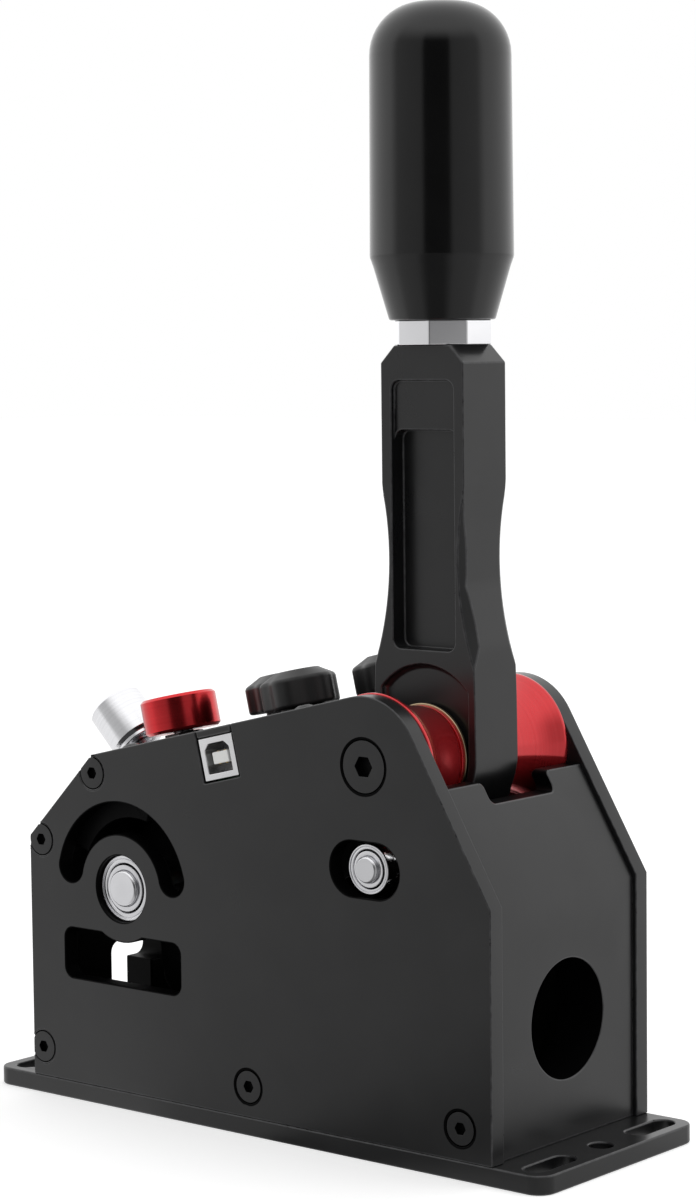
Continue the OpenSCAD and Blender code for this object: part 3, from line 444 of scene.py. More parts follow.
        bevel = obj.modifiers.new("broken edges", "BEVEL")
        bevel.width = width * MM
        bevel.segments = segments
        bevel.limit_method = "ANGLE"
        bevel.angle_limit = SHARP_PLATE
        bevel.use_clamp_overlap = False
        bevel.miter_outer = "MITER_ARC"
        bevel.material = edge_slot
        if square_to != NONE:
            mesh = bmesh.new()
            mesh.from_mesh(obj.data)
            layer = mesh.edges.layers.float.new("bevel_weight_edge")
            for edge in mesh.edges:
                edge[layer] = float(plain(edge))
            mesh.to_mesh(obj.data)
            mesh.free()
            bevel.limit_method = "WEIGHT"
        Bench.apply(obj, bevel)
        for vert in obj.data.vertices:
            vert.co = [min(max(place, a), b) for place, a, b in zip(vert.co, low, high)]
        Bench.even_shading(obj)

    @staticmethod
    def even_shading(obj: bpy.types.Object) -> None:
        """Smooth shading that keeps large faces flat."""
        Bench.take(obj)
        bpy.ops.object.shade_smooth()
        normals = obj.modifiers.new("normals", "WEIGHTED_NORMAL")
        normals.mode = "FACE_AREA"
        normals.weight = 50
        normals.keep_sharp = False
        Bench.apply(obj, normals)


class Graph:
    """Adds nodes to one node tree and joins them."""

    def __init__(self, tree: bpy.types.NodeTree) -> None:
        """Starts from an empty tree."""
        self.tree = tree
        tree.nodes.clear()

    def add(
        self, kind: str, settings: dict[str, Any] | None = None, inputs: dict[Any, Any] | None = None
    ) -> Any:
        """Adds a node.

        Args:
            kind: Node type without its "ShaderNode" start.
            settings: Properties of the node.
            inputs: Sockets to link, or values to set, by socket name or number.

        Returns:
            The new node.
        """
        node = self.tree.nodes.new(kind if kind.startswith("Node") else "ShaderNode" + kind)
        for key, value in (settings or {}).items():
            setattr(node, key, value)
        for key, value in (inputs or {}).items():
            self.feed(node, key, value)
        return node

    def feed(self, node: Any, key: Any, value: Any) -> None:
        """Links a socket to an input, or sets the input's value."""
        if isinstance(value, bpy.types.NodeSocket):
            self.tree.links.new(value, node.inputs[key])
        else:
            node.inputs[key].default_value = value

    def math(self, operation: str, *values: Any) -> Any:
        """Result of a Math node."""
        return self.add("Math", {"operation": operation}, dict(enumerate(values))).outputs[0]

    def clamp(self, value: Any) -> Any:
        """Value held between 0 and 1."""
        return self.math("MINIMUM", self.math("MAXIMUM", value, 0.0), 1.0)

    def length(self, x: Any, y: Any) -> Any:
        """Length of a vector in the XY plane."""
        return self.math("SQRT", self.math("ADD", self.math("MULTIPLY", x, x), self.math("MULTIPLY", y, y)))

    def noise(self, vector: Any, scale: Any, **more: float) -> Any:
        """Result of a Noise Texture node."""
        return self.add("TexNoise", None, {"Vector": vector, "Scale": scale, **more}).outputs[0]

    def noise_along(self, way: Any, scale: Any, detail: float) -> Any:
        """Result of a Noise Texture node along one value."""
        inputs = {"W": way, "Scale": scale, "Detail": detail}
        return self.add("TexNoise", {"noise_dimensions": "1D"}, inputs).outputs[0]

    def between(self, factor: Any, low: Any, high: Any) -> Any:
        """Value that runs from low to high as the factor goes from 0 to 1."""
        return self.add("MapRange", None, {0: factor, 1: 0.0, 2: 1.0, 3: low, 4: high}).outputs[0]

    def blend(self, factor: Any, low: Shade, high: Shade) -> Any:
        """Colour that runs from one shade to another."""
        mix = self.add("Mix", {"data_type": "RGBA"}, {0: factor, 6: (*low, 1.0), 7: (*high, 1.0)})
        return mix.outputs[2]


class Effects:
    """Shader node groups that several finishes share."""

    def __init__(self) -> None:
        """Builds every group once."""
        self.blast = self.build_blast()
        self.marks = self.build_marks()
        self.rings = self.build_rings()
        self.rub = self.build_rub()

    @staticmethod
    def start(name: str, inputs: dict[str, str], outputs: Sequence[str]) -> tuple[Any, Graph, Any]:
        """New group with its sockets.

        Args:
            name: Name of the group.
            inputs: Socket type of each input by name.
            outputs: Names of the outputs, all plain values.

        Returns:
            The group, its graph and its input node.
        """
        tree = bpy.data.node_groups.new(name, "ShaderNodeTree")
        for key, kind in inputs.items():
            tree.interface.new_socket(name=key, in_out="INPUT", socket_type=kind)
        for key in outputs:
            tree.interface.new_socket(name=key, in_out="OUTPUT", socket_type="NodeSocketFloat")
        graph = Graph(tree)
        return tree, graph, graph.add("NodeGroupInput")

    def build_blast(self) -> Any:
        """Bead-blasted skin: fine dimples for the height and slow clouds for the tone."""
        sockets = {"Vector": "NodeSocketVector", "Dimples": "NodeSocketFloat", "Clouds": "NodeSocketFloat"}
        tree, graph, source = self.start("blast_grain", sockets, ("Tone", "Height"))
        place, dimples, clouds = source.outputs[:3]
        fine = graph.noise(place, dimples, Detail=3.0, Roughness=0.6)
        pits = graph.add("TexVoronoi", None, {"Vector": place, "Scale": dimples})
        slow = graph.noise(place, clouds, Detail=4.0)
        height = graph.math("MULTIPLY_ADD", pits.outputs["Distance"], 0.45, fine)
        speckle = graph.math("MULTIPLY_ADD", fine, 0.5, -0.25)
        tone = graph.math("ADD", graph.between(slow, -0.6, 1.6), speckle)
        graph.add("NodeGroupOutput", None, {0: graph.clamp(tone), 1: height})
        return tree

    def build_marks(self) -> Any:
        """Handling: soft smears and a few hairlines."""
        sockets = {"Vector": "NodeSocketVector", "Smears": "NodeSocketFloat"}
        tree, graph, source = self.start("handling_marks", sockets, ("Mask",))
        place, smears = source.outputs[:2]
        smear = graph.noise(place, smears, Detail=5.0, Distortion=0.8)
        stretch = {"Vector": place, "Rotation": (0.4, 0.9, 0.7), "Scale": (30.0, 1100.0, 1100.0)}
        turned = graph.add("Mapping", None, stretch)
        hair = graph.noise(turned.outputs[0], 1.0, Detail=2.0)
        lines = graph.math("MAXIMUM", graph.between(hair, -5.4, 2.4), 0.0)
        mask = graph.math("MULTIPLY_ADD", lines, 0.35, graph.between(smear, -0.7, 1.7))
        graph.add("NodeGroupOutput", None, {0: graph.clamp(mask)})
        return tree

    def build_rings(self) -> Any:
        """Fine tool rings of a turned piece, in a frame whose Z axis is the lathe's."""
        sockets = {"Vector": "NodeSocketVector", "Rings": "NodeSocketFloat"}
        tree, graph, source = self.start("turned_rings", sockets, ("Tone", "Height"))
        place, rings = source.outputs[:2]
        x, y, z = graph.add("SeparateXYZ", None, {0: place}).outputs
        way = graph.math("MULTIPLY_ADD", z, 1.31, graph.length(x, y))
        fine = graph.noise_along(way, rings, 2.0)
        broad = graph.noise_along(way, graph.math("MULTIPLY", rings, 0.16), 1.0)
        tone = graph.math("MULTIPLY_ADD", broad, 0.6, graph.math("MULTIPLY", fine, 0.4))
        graph.add("NodeGroupOutput", None, {0: graph.between(tone, -0.4, 1.4), 1: fine})
        return tree

    def build_rub(self) -> Any:
        """Worn edge: patches where the coat is rubbed thin, which vary the edges' painted highlight."""
        sockets = {"Vector": "NodeSocketVector", "Patches": "NodeSocketFloat"}
        tree, graph, source = self.start("edge_rub", sockets, ("Mask",))
        place, patches = source.outputs[:2]
        patch = graph.noise(place, patches, Detail=6.0, Roughness=0.7)
        graph.add("NodeGroupOutput", None, {0: graph.clamp(graph.between(patch, -1.1, 2.1))})
        return tree


@dataclass(frozen=True)
class Finish:
    """What all finishes share: two shades, two roughnesses and the shader's constants."""

    low: Shade
    high: Shade
    smooth: float
    rough: float
    metallic: float = 0.0
    specular: float = 0.5
    coat: float = 0.0
    coat_roughness: float = 0.06
    bump: float = 0.1
    depth: float = 0.02

    def build(self, name: str, effects: Effects) -> bpy.types.Material:
        """Material of this finish.

        Args:
            name: Name of the material.
            effects: Shared node groups.

        Returns:
            The new material.
        """
        material = bpy.data.materials.new(name)
        material.use_nodes = True
        graph = Graph(material.node_tree)
        place = graph.add("TexCoord").outputs["Object"]
        tone, mask, height = self.pattern(graph, place, effects)
        bump = graph.add("Bump", None, {"Strength": self.bump, "Distance": self.depth * MM, "Height": height})
        shader = graph.add(
            "BsdfPrincipled",
            None,
            {
                "Base Color": graph.blend(tone, self.low, self.high),
                "Roughness": graph.between(mask, self.smooth, self.rough),
                "Metallic": self.metallic,
                "Specular IOR Level": self.specular,
                "Coat Weight": self.coat,
                "Coat Roughness": self.coat_roughness,
                "Normal": bump.outputs[0],
            },
        )
        graph.add("OutputMaterial", None, {0: shader.outputs[0]})
        return material

    def pattern(self, graph: Graph, place: Any, effects: Effects) -> tuple[Any, Any, Any]:
        """Tone, roughness mask and height of the surface.

        Args:
            graph: Graph of the material.
            place: Object coordinates.
            effects: Shared node groups.

        Returns:
            The three sockets in that order.
        """
        raise NotImplementedError

    @staticmethod
    def group(graph: Graph, tree: Any, place: Any, *values: float) -> Any:
        """Node of a shared group with its values set."""
        return graph.add("Group", {"node_tree": tree}, {0: place, **{i + 1: v for i, v in enumerate(values)}})


@dataclass(frozen=True)
class Blasted(Finish):
    """Bead-blasted and dyed, or moulded with the same fine grain."""

    dimples: float = 2600.0
    clouds: float = 70.0
    smears: float = 45.0

    def pattern(self, graph: Graph, place: Any, effects: Effects) -> tuple[Any, Any, Any]:
        """Grain for the tone and height, smears for the roughness."""
        grain = self.group(graph, effects.blast, place, self.dimples, self.clouds)
        marks = self.group(graph, effects.marks, place, self.smears)
        return grain.outputs["Tone"], marks.outputs["Mask"], grain.outputs["Height"]


@dataclass(frozen=True)
class RubbedAndHighlit(Blasted):
    """The blasted finish on broken edges, painted lighter as a painted highlight, in patches where the coat
    is rubbed thin.
    """

    patches: float = 420.0

    def pattern(self, graph: Graph, place: Any, effects: Effects) -> tuple[Any, Any, Any]:
        """Worn patches for the tone of the painted highlight and for the roughness, over the same grain."""
        grain = self.group(graph, effects.blast, place, self.dimples, self.clouds)
        rub = self.group(graph, effects.rub, place, self.patches)
        return rub.outputs["Mask"], rub.outputs["Mask"], grain.outputs["Height"]


@dataclass(frozen=True)
class Turned(Finish):
    """Lathe work, with tool rings round an axis."""

    axis: Matrix | None = None
    rings: float = 5200.0
    smears: float = 60.0

    def pattern(self, graph: Graph, place: Any, effects: Effects) -> tuple[Any, Any, Any]:
        """Rings in the axis frame, smears for the roughness."""
        frame_of = self.axis or Matrix.Identity(4)
        spot, turn = tuple(frame_of.translation), tuple(frame_of.to_euler())
        local = graph.add(
            "Mapping", {"vector_type": "TEXTURE"}, {"Vector": place, "Location": spot, "Rotation": turn}
        )
        rings = self.group(graph, effects.rings, local.outputs[0], self.rings)
        marks = self.group(graph, effects.marks, place, self.smears)
        return rings.outputs["Tone"], marks.outputs["Mask"], rings.outputs["Height"]


@dataclass(frozen=True)
class Traced(Finish):
    """Circuit board: solder mask over a net of copper traces."""

    cells: float = 330.0
    smears: float = 80.0

    def pattern(self, graph: Graph, place: Any, effects: Effects) -> tuple[Any, Any, Any]:
        """Net of straight traces with pads, raised a little under the mask."""
        net = graph.add(
            "TexVoronoi",
            {"feature": "DISTANCE_TO_EDGE"},
            {"Vector": place, "Scale": self.cells, "Randomness": 0.55},
        )
        pads = graph.add("TexVoronoi", None, {"Vector": place, "Scale": self.cells * 0.7, "Randomness": 0.4})
        line = graph.math("LESS_THAN", net.outputs["Distance"], 0.07)
        pad = graph.math("LESS_THAN", pads.outputs["Distance"], 0.16)
        raised = graph.math("MAXIMUM", line, pad)
        marks = self.group(graph, effects.marks, place, self.smears)
        return raised, marks.outputs["Mask"], raised


class FinishBook:
    """Every finish of the shifter, made once."""

    def __init__(self, layout: Layout) -> None:
        """Builds the materials.

        Args:
            layout: Places that the turned finishes take their axes from.
        """
        effects = Effects()
        self.materials = {
            coat: finish.build(coat.value, effects) for coat, finish in self.finishes(layout).items()
        }

    @staticmethod
    def finishes(layout: Layout) -> dict[Coat, Finish]:
        """Values of each finish."""
        at_pivot = layout.across(layout.pivot, 0.0, Side.RIGHT)
        at_pin = layout.across(layout.cross_pin, 0.0, Side.RIGHT)
        at_shaft = layout.across(layout.shaft, 0.0, Side.RIGHT)
        red_up = layout.red_axis(0.0)
        silver_up = layout.silver_axis(0.0)
        red = ((0.56, 0.020, 0.026), (0.66, 0.034, 0.040))
        return {
            Coat.PLATE: Blasted((0.0050, 0.0051, 0.0055), (0.0085, 0.0086, 0.0090), 0.27, 0.35),
            # Broken edges lighter than the faces: painted highlight, in rubbed wear patches
            Coat.PLATE_EDGE: RubbedAndHighlit((0.016, 0.016, 0.017), (0.050, 0.050, 0.052), 0.27, 0.38),
            Coat.LEVER: Blasted((0.0045, 0.0046, 0.0050), (0.0080, 0.0081, 0.0085), 0.26, 0.34),
            # The lever's edges, lighter than its faces: painted highlight, in rubbed wear patches
            Coat.LEVER_EDGE: RubbedAndHighlit((0.014, 0.014, 0.015), (0.042, 0.042, 0.044), 0.27, 0.38),
            Coat.OXIDE: Blasted((0.008, 0.008, 0.0085), (0.013, 0.013, 0.0135), 0.33, 0.42, specular=0.45),
            # Painted shade: near black with almost no shine, for hollows and parts that sit in shade
            Coat.INNER: Blasted(
                (0.0010, 0.0010, 0.0011), (0.0018, 0.0018, 0.0019), 0.40, 0.50, specular=0.05
            ),
            Coat.RED_ACROSS: Turned(*red, 0.13, 0.19, 0.7, coat=0.45, bump=0.05, axis=at_pivot),
            Coat.RED_UP: Turned(*red, 0.20, 0.26, 1.0, coat=0.25, bump=0.03, axis=red_up),
            Coat.BRASS: Turned((0.50, 0.38, 0.23), (0.63, 0.50, 0.33), 0.24, 0.36, 1.0, axis=at_pivot),
            Coat.STEEL: Blasted((0.70, 0.70, 0.72), (0.80, 0.80, 0.82), 0.20, 0.28, 1.0, bump=0.03),
            # Outer ring painted far darker than the bearing's other steel: painted shade
            Coat.RACE: Blasted((0.17, 0.17, 0.18), (0.25, 0.25, 0.26), 0.20, 0.30, 1.0, bump=0.05),
            Coat.RING_PIN: Turned(
                (0.72, 0.72, 0.74), (0.88, 0.88, 0.90), 0.16, 0.24, 1.0, bump=0.06, axis=at_pin
            ),
            Coat.RING_SHAFT: Turned(
                (0.62, 0.62, 0.64), (0.80, 0.80, 0.82), 0.18, 0.26, 1.0, bump=0.10, axis=at_shaft
            ),
            Coat.THREAD: Blasted((0.40, 0.40, 0.42), (0.56, 0.56, 0.58), 0.25, 0.36, 1.0, bump=0.08),
            Coat.ALLOY: Blasted((0.85, 0.85, 0.87), (0.92, 0.92, 0.94), 0.20, 0.30, 1.0, bump=0.05),
            Coat.ALLOY_KNOB: Turned(
                (0.78, 0.78, 0.80), (0.88, 0.88, 0.90), 0.14, 0.24, 1.0, bump=0.05, axis=silver_up
            ),
            Coat.GRIP: Blasted((0.0016, 0.0016, 0.0017), (0.0030, 0.0030, 0.0031), 0.13, 0.18),
            Coat.STAR: Blasted(
                (0.006, 0.006, 0.0062), (0.010, 0.010, 0.0102), 0.38, 0.48, bump=0.25, dimples=1700.0
            ),
            Coat.BOARD: Traced((0.006, 0.065, 0.028), (0.020, 0.150, 0.060), 0.25, 0.38, bump=0.3),
            Coat.CHIP: Blasted((0.010, 0.010, 0.011), (0.018, 0.018, 0.019), 0.45, 0.60, dimples=3400.0),
            Coat.WHITE: Blasted((0.76, 0.76, 0.74), (0.84, 0.84, 0.82), 0.28, 0.40, bump=0.05),
            Coat.TIN: Blasted((0.72, 0.72, 0.73), (0.82, 0.82, 0.83), 0.22, 0.34, 1.0, bump=0.05),
            Coat.GOLD: Blasted((0.72, 0.50, 0.20), (0.84, 0.62, 0.28), 0.18, 0.30, 1.0, bump=0.04),
        }

    def __getitem__(self, coat: Coat) -> bpy.types.Material:
        """Material of one finish."""
        return self.materials[coat]


@dataclass
class SubAssembly:
    """Pieces that are built and dressed together."""

    layout: Layout
    finishes: FinishBook

    def build(self) -> None:
        """Builds and dresses every piece."""
        raise NotImplementedError

    def coat_cad(self, coat: Coat, *nodes: str) -> None:
        """Gives CAD nodes that keep their shape a finish."""
        for node in nodes:
            obj = frame["nodes"][node]
            if not obj.material_slots:
                obj.data.materials.append(self.finishes[coat])
            for slot in obj.material_slots:
                slot.material = self.finishes[coat]
            LOG.info("%s keeps its solid, finish %s", node, coat.value)

    def seat(self, obj: bpy.types.Object, coats: Sequence[Coat], *nodes: str) -> bpy.types.Object:
        """Dresses a piece and lets it stand for its nodes.

        Args:
            obj: Finished piece.
            coats: Finishes of its material slots.
            nodes: Nodes that it stands for.

        Returns:
            The piece.
        """
        for index, coat in enumerate(coats):
            if index < len(obj.data.materials):
                obj.data.materials[index] = self.finishes[coat]
            else:
                obj.data.materials.append(self.finishes[coat])
        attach(obj, frame["nodes"][nodes[0]]["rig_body"])
        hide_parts(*nodes)
        LOG.info("%s stands for %s, %d faces", obj.name, ", ".join(nodes), len(obj.data.polygons))
        return obj

    def machined(
        self,
        node: str,
        coat: Coat,
        width: float,
        edge: Coat | None = None,
        segments: int = 3,
        whole: bool = True,
        square_to: int = NONE,
    ) -> bpy.types.Object:
        """Edge-broken copy of a node.

        Args:
            node: Node to copy and stand for.
            coat: Finish of its faces.
            width: Width of the broken edges in millimetres.
            edge: Finish of the broken edges.
            segments: Steps across an edge.
            whole: Whether flat faces are made whole first.
            square_to: Axis that a plate lies square to, or NONE.

        Returns:
            The piece.
        """
        obj = self.merged_copy(node, whole)
        Bench.break_edges(obj, width, segments, EDGE_SLOT if edge else NONE, square_to)
        return self.seat(obj, (coat, edge) if edge else (coat,), node)

    def on_both_sides(
        self, obj: bpy.types.Object, name: str, point: tuple[float, float], reach: float
    ) -> bpy.types.Object:
        """Puts a piece on the right side and a copy of it on the left.

        Args:
            obj: Piece that stands on the XY plane.
            name: Name of the left copy.
            point: X and Z of the axis.
            reach: Distance of both from the middle plane.

        Returns:
            The left copy.
        """
        twin = Bench.twin(obj, name)
        for piece, side in ((obj, Side.RIGHT), (twin, Side.LEFT)):
            Bench.place(piece, self.layout.across(point, reach, side))
        return twin

    def open_slot(self, obj: bpy.types.Object, slot: int) -> None:
        """Adds the painted-shade finish until a piece has a material slot of that number."""
        while len(obj.data.materials) <= slot:
            obj.data.materials.append(self.finishes[Coat.INNER])

    def mark(self, obj: bpy.types.Object, slot: int, rule: Callable[[bpy.types.MeshPolygon], bool]) -> None:
        """Moves the faces that follow a rule to another material slot.

        Args:
            obj: Piece in object mode.
            slot: Number of the slot.
            rule: Test on one face.
        """
        self.open_slot(obj, slot)
        for face in obj.data.polygons:
            if rule(face):
                face.material_index = slot

    def merged_copy(self, node: str, whole: bool = True) -> bpy.types.Object:
        """Copy of a node's mesh with its points merged and, where asked, its flat faces whole."""
        obj = Bench.twin(frame["nodes"][node], node + "_detail")
        for key in [k for k in obj.keys() if k.startswith("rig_")]:
            del obj[key]
        obj.data.materials.clear()
        obj.data.materials.append(self.finishes[Coat.PLATE])
        obj.data.materials.append(self.finishes[Coat.PLATE_EDGE])
        with Bench.editing(obj, everything=True):
            bpy.ops.mesh.customdata_custom_splitnormals_clear()
            bpy.ops.mesh.remove_doubles(threshold=2e-6)
            if whole:
                bpy.ops.mesh.dissolve_limited(angle_limit=math.radians(0.5))
        return obj


@dataclass
class Housing(SubAssembly):
    """Base, side plates, covers and the blocks between them."""

    plate_edge: float = 0.35
    cover_edge: float = 0.45
    base_edge: float = 0.5
    facing: float = 0.95
    flat: float = 0.9995
    sideways: float = 0.3

    def build(self) -> None:
        """Builds and dresses every piece."""
        self.machined("base_plate", Coat.PLATE, self.base_edge, Coat.PLATE_EDGE, square_to=Z_AXIS)
        for node in ("left_side_plate", "right_side_plate"):
            plate = self.machined(node, Coat.PLATE, self.plate_edge, Coat.PLATE_EDGE, square_to=Y_AXIS)
            self.shade_openings(plate)
        self.machined("top_cover", Coat.PLATE, self.cover_edge, Coat.PLATE_EDGE)
        for node, out in (("rear_end_cover", 1), ("front_end_cover", -1)):
            cover = self.machined(node, Coat.PLATE, self.cover_edge, Coat.PLATE_EDGE)
            # Painted shade on every face of an end cover that does not face out
            self.mark(cover, SHADE_SLOT, lambda face: out * face.normal.x < self.sideways)
        block = self.machined("detent_block", Coat.PLATE, self.cover_edge, Coat.PLATE_EDGE)
        slopes = (self.layout.on_top(0, 0), self.layout.silver_axis(0))
        outward = [slope.col[Z_AXIS].to_3d() for slope in slopes]
        # Painted shade on the block's faces that face neither slope
        self.mark(block, SHADE_SLOT, lambda face: all(face.normal.dot(way) < self.facing for way in outward))
        # Painted shade over the foot block and support bar, which sit inside
        self.coat_cad(Coat.INNER, "foot_block", "cover_support_bar")

    def shade_openings(self, plate: bpy.types.Object) -> None:
        """Lays painted shade on the walls and rims of a side plate's openings.

        Args:
            plate: Plate that lies square to Y.
        """
        self.open_slot(plate, SHADE_SLOT)
        tail = max(vert.co.x for vert in plate.data.vertices) - MERGED

        def at_tail(face: bmesh.types.BMFace) -> bool:
            """Whether a face that still shows reaches the plate's tail."""
            return not face.hide and max(vert.co.x for vert in face.verts) > tail

        with Bench.editing(plate):
            # Painted shade: every face that is not a flat side face and does not reach the tail gets the
            # near-black finish
            Bench.pick(plate, Part.FACE, lambda face: abs(face.normal.y) > self.flat)
            bpy.ops.mesh.hide()
            Bench.pick(plate, Part.FACE, at_tail)
            bpy.ops.mesh.select_linked()
            bpy.ops.mesh.hide()
            bpy.ops.mesh.select_all(action="SELECT")
            plate.active_material_index = SHADE_SLOT
            bpy.ops.object.material_slot_assign()
            bpy.ops.mesh.reveal(select=False)


@dataclass
class Fasteners(SubAssembly):
    """Countersunk and button-head screws."""

    edge: float = 0.14
    facing: float = 0.9
    socket: float = 1.2

    def build(self) -> None:
        """Builds and dresses every piece."""
        floor = (self.layout.half_width - self.socket) * MM
        for node in ("side_screws", "pivot_screws"):
            screws = self.machined(node, Coat.OXIDE, self.edge, segments=2, whole=False)
            # Painted shade in the sockets and on the heads' sides and rims
            self.mark(
                screws,
                SHADE_SLOT,
                lambda face: abs(face.normal.y) < self.facing or abs(face.center.y) < floor,
            )
        for node in ("base_screws", "cover_screws"):
            self.machined(node, Coat.OXIDE, self.edge, segments=2)


@dataclass
class LeverPivot(SubAssembly):
    """Red bushes, washers, axle and bearings of the lever."""

    bush_near: float = 9.3
    bush_end_r: float = 13.4
    bush_rim_r: float = 18.3
    bush_rim: float = 0.8
    bore_r: float = 6.05
    lip: float = 0.9
    groove: float = 0.8
    groove_deep: float = 1.0
    washer_near: float = 8.3
    washer_r: float = 13.8
    washer_t: float = 1.0
    rim_rise: float = 0.01
    flare_steps: int = 24

    def build(self) -> None:
        """Builds and dresses every piece."""
        bush = Bench.lathe("right_pivot_bush_detail", self.bush_outline(), FACETS)
        twin = self.on_both_sides(bush, "left_pivot_bush_detail", self.layout.pivot, self.bush_near)
        self.seat(bush, (Coat.RED_ACROSS,), "right_pivot_bush")
        self.seat(twin, (Coat.RED_ACROSS,), "left_pivot_bush")
        outer, inner, thick = self.washer_r, self.bore_r, self.washer_t
        corners = [(inner, 0, 0.1), (outer, 0, 0.25), (outer, thick, 0.25), (inner, thick, 0.1)]
        washer = Bench.lathe("thrust_washers_detail", rounded(corners, closed=True), FACETS)
        other = self.on_both_sides(washer, "left_thrust_washer", self.layout.pivot, self.washer_near)
        self.seat(Bench.join(washer, other), (Coat.BRASS,), "thrust_washers")
        self.coat_cad(Coat.STEEL, "pivot_axle", "lever_bearings")

    def bush_outline(self) -> Outline:
        """Section of a bush: grooved end, hollow flare and broad rim."""
        length = self.layout.inner - self.bush_near
        flare = self.bush_rim_r - self.bush_end_r
        start = self.lip + self.groove
        run = length - self.bush_rim
        arc = (flare * flare + run * run) / (2 * flare)
        end = self.bush_end_r
        corners: list[Corner] = [
            (self.bore_r, 0, 0.2), (end, 0, 0.25), (end, self.lip, 0.2),
            (end - self.groove_deep, self.lip, 0.15), (end - self.groove_deep, start, 0.15),
        ]
        for step in range(self.flare_steps + 1):
            z = start + (run - start) * step / self.flare_steps
            corners.append((end + arc - math.sqrt(arc * arc - z * z), z, 0.15 if step == 0 else 0.0))
        rim = self.bush_rim_r
        corners += [(rim, run + self.rim_rise, 0.0), (rim, length, 0.45), (self.bore_r, length, 0.2)]
        return rounded(corners, closed=True)


@dataclass
class LeverArm(SubAssembly):
    """Lever, grip, lock collar and what is inside them."""

    edge: float = 0.4
    hub_floor: float = 7.0
    hub_cove: float = 1.5
    level_within: float = 0.01
    floor_tilt: float = 0.9
    bearing_r: float = 12.6
    grip_z: float = 213.9
    grip_h: float = 81.0
    foot_r: float = 13.7
    shoulder_r: float = 17.7
    shoulder_up: float = 13.7
    wide_r: float = 18.6
    wide_up: float = 16.3
    top_r: float = 18.25
    dome: float = 13.5
    dome_steps: int = 12
    stud_r: float = 5.05
    stud_up: float = 31.0
    collar_z: float = 207.5
    collar_h: float = 6.4
    collar_flats: float = 24.0
    collar_edge: float = 0.35
    collar_sides: int = 8
    cutter_h: float = 20.0

    def build(self) -> None:
        """Builds and dresses every piece."""
        self.build_lever()
        self.build_grip()
        self.build_collar()
        self.coat_cad(Coat.STEEL, "grip_stud", "magnet")

    def build_lever(self) -> None:
        """Lever with a cove at the foot of its hub pocket."""
        obj = self.merged_copy("lever")
        axis = Vector((self.layout.pivot[0], self.layout.pivot[1])) * MM

        def at_cove(edge: bmesh.types.BMEdge) -> bool:
            """Whether an edge joins the hub pocket's floor to its wall."""
            if len(edge.link_faces) != 2:
                return False
            flat = sorted(abs(face.normal.y) for face in edge.link_faces)
            level = all(abs(abs(v.co.y) - self.hub_floor * MM) < self.level_within * MM for v in edge.verts)
            away = all((Vector((v.co.x, v.co.z)) - axis).length > self.bearing_r * MM for v in edge.verts)
            return level and away and flat[0] < WALL_TILT and flat[1] > self.floor_tilt

        with Bench.editing(obj):
            found = Bench.pick(obj, Part.EDGE, at_cove)
            bpy.ops.mesh.bevel(offset=self.hub_cove * MM, segments=6, affect="EDGES", clamp_overlap=False)
        LOG.info("hub pocket cove on %d edges", found)
        Bench.break_edges(obj, self.edge, edge_slot=EDGE_SLOT)
        self.seat(obj, (Coat.LEVER, Coat.LEVER_EDGE), "lever")

    def build_collar(self) -> None:
        """Eight-sided lock collar with a bore for the stud."""
        half_side = math.pi / self.collar_sides
        x, _ = self.layout.pivot
        middle = Vector((x, 0.0, self.collar_z + self.collar_h / 2)) * MM
        radius = self.collar_flats / 2 / math.cos(half_side)
        Bench.clear()
        bpy.ops.mesh.primitive_cylinder_add(
            vertices=self.collar_sides,
            radius=radius * MM,
            depth=self.collar_h * MM,
            location=middle,
            rotation=(0, 0, half_side),
        )
        collar = bpy.context.active_object
        collar.name = collar.data.name = "lock_collar_detail"
        Bench.place(collar, collar.matrix_world.copy())
        Bench.clear()
        bpy.ops.mesh.primitive_cylinder_add(
            vertices=64, radius=self.stud_r * MM, depth=self.cutter_h * MM, location=middle
        )
        Bench.cut(collar, bpy.context.active_object)
        Bench.break_edges(collar, self.collar_edge)
        self.seat(collar, (Coat.ALLOY,), "lock_collar")

    def build_grip(self) -> None:
        """Round grip with a tapered foot and a domed top."""
        h, bore = self.grip_h, self.stud_r
        corners: list[Corner] = [
            (0, self.stud_up, 0), (bore, self.stud_up, 0.3), (bore, 0, 0.3), (self.foot_r, 0, 0.7),
            (self.shoulder_r, self.shoulder_up, 2.5), (self.wide_r, self.wide_up, 2.5),
            (self.top_r, h - self.dome, 2.0),
        ]
        for step in range(1, self.dome_steps + 1):
            angle = math.radians(90 * step / self.dome_steps)
            r = self.top_r - self.dome + self.dome * math.cos(angle)
            corners.append((r, h - self.dome + self.dome * math.sin(angle), 0.0))
        corners.append((0, h, 0))
        grip = Bench.lathe("grip_detail", rounded(corners), FACETS)
        x, _ = self.layout.pivot
        Bench.place(grip, Matrix.Translation(Vector((x, 0.0, self.grip_z)) * MM))
        self.seat(grip, (Coat.GRIP,), "grip")


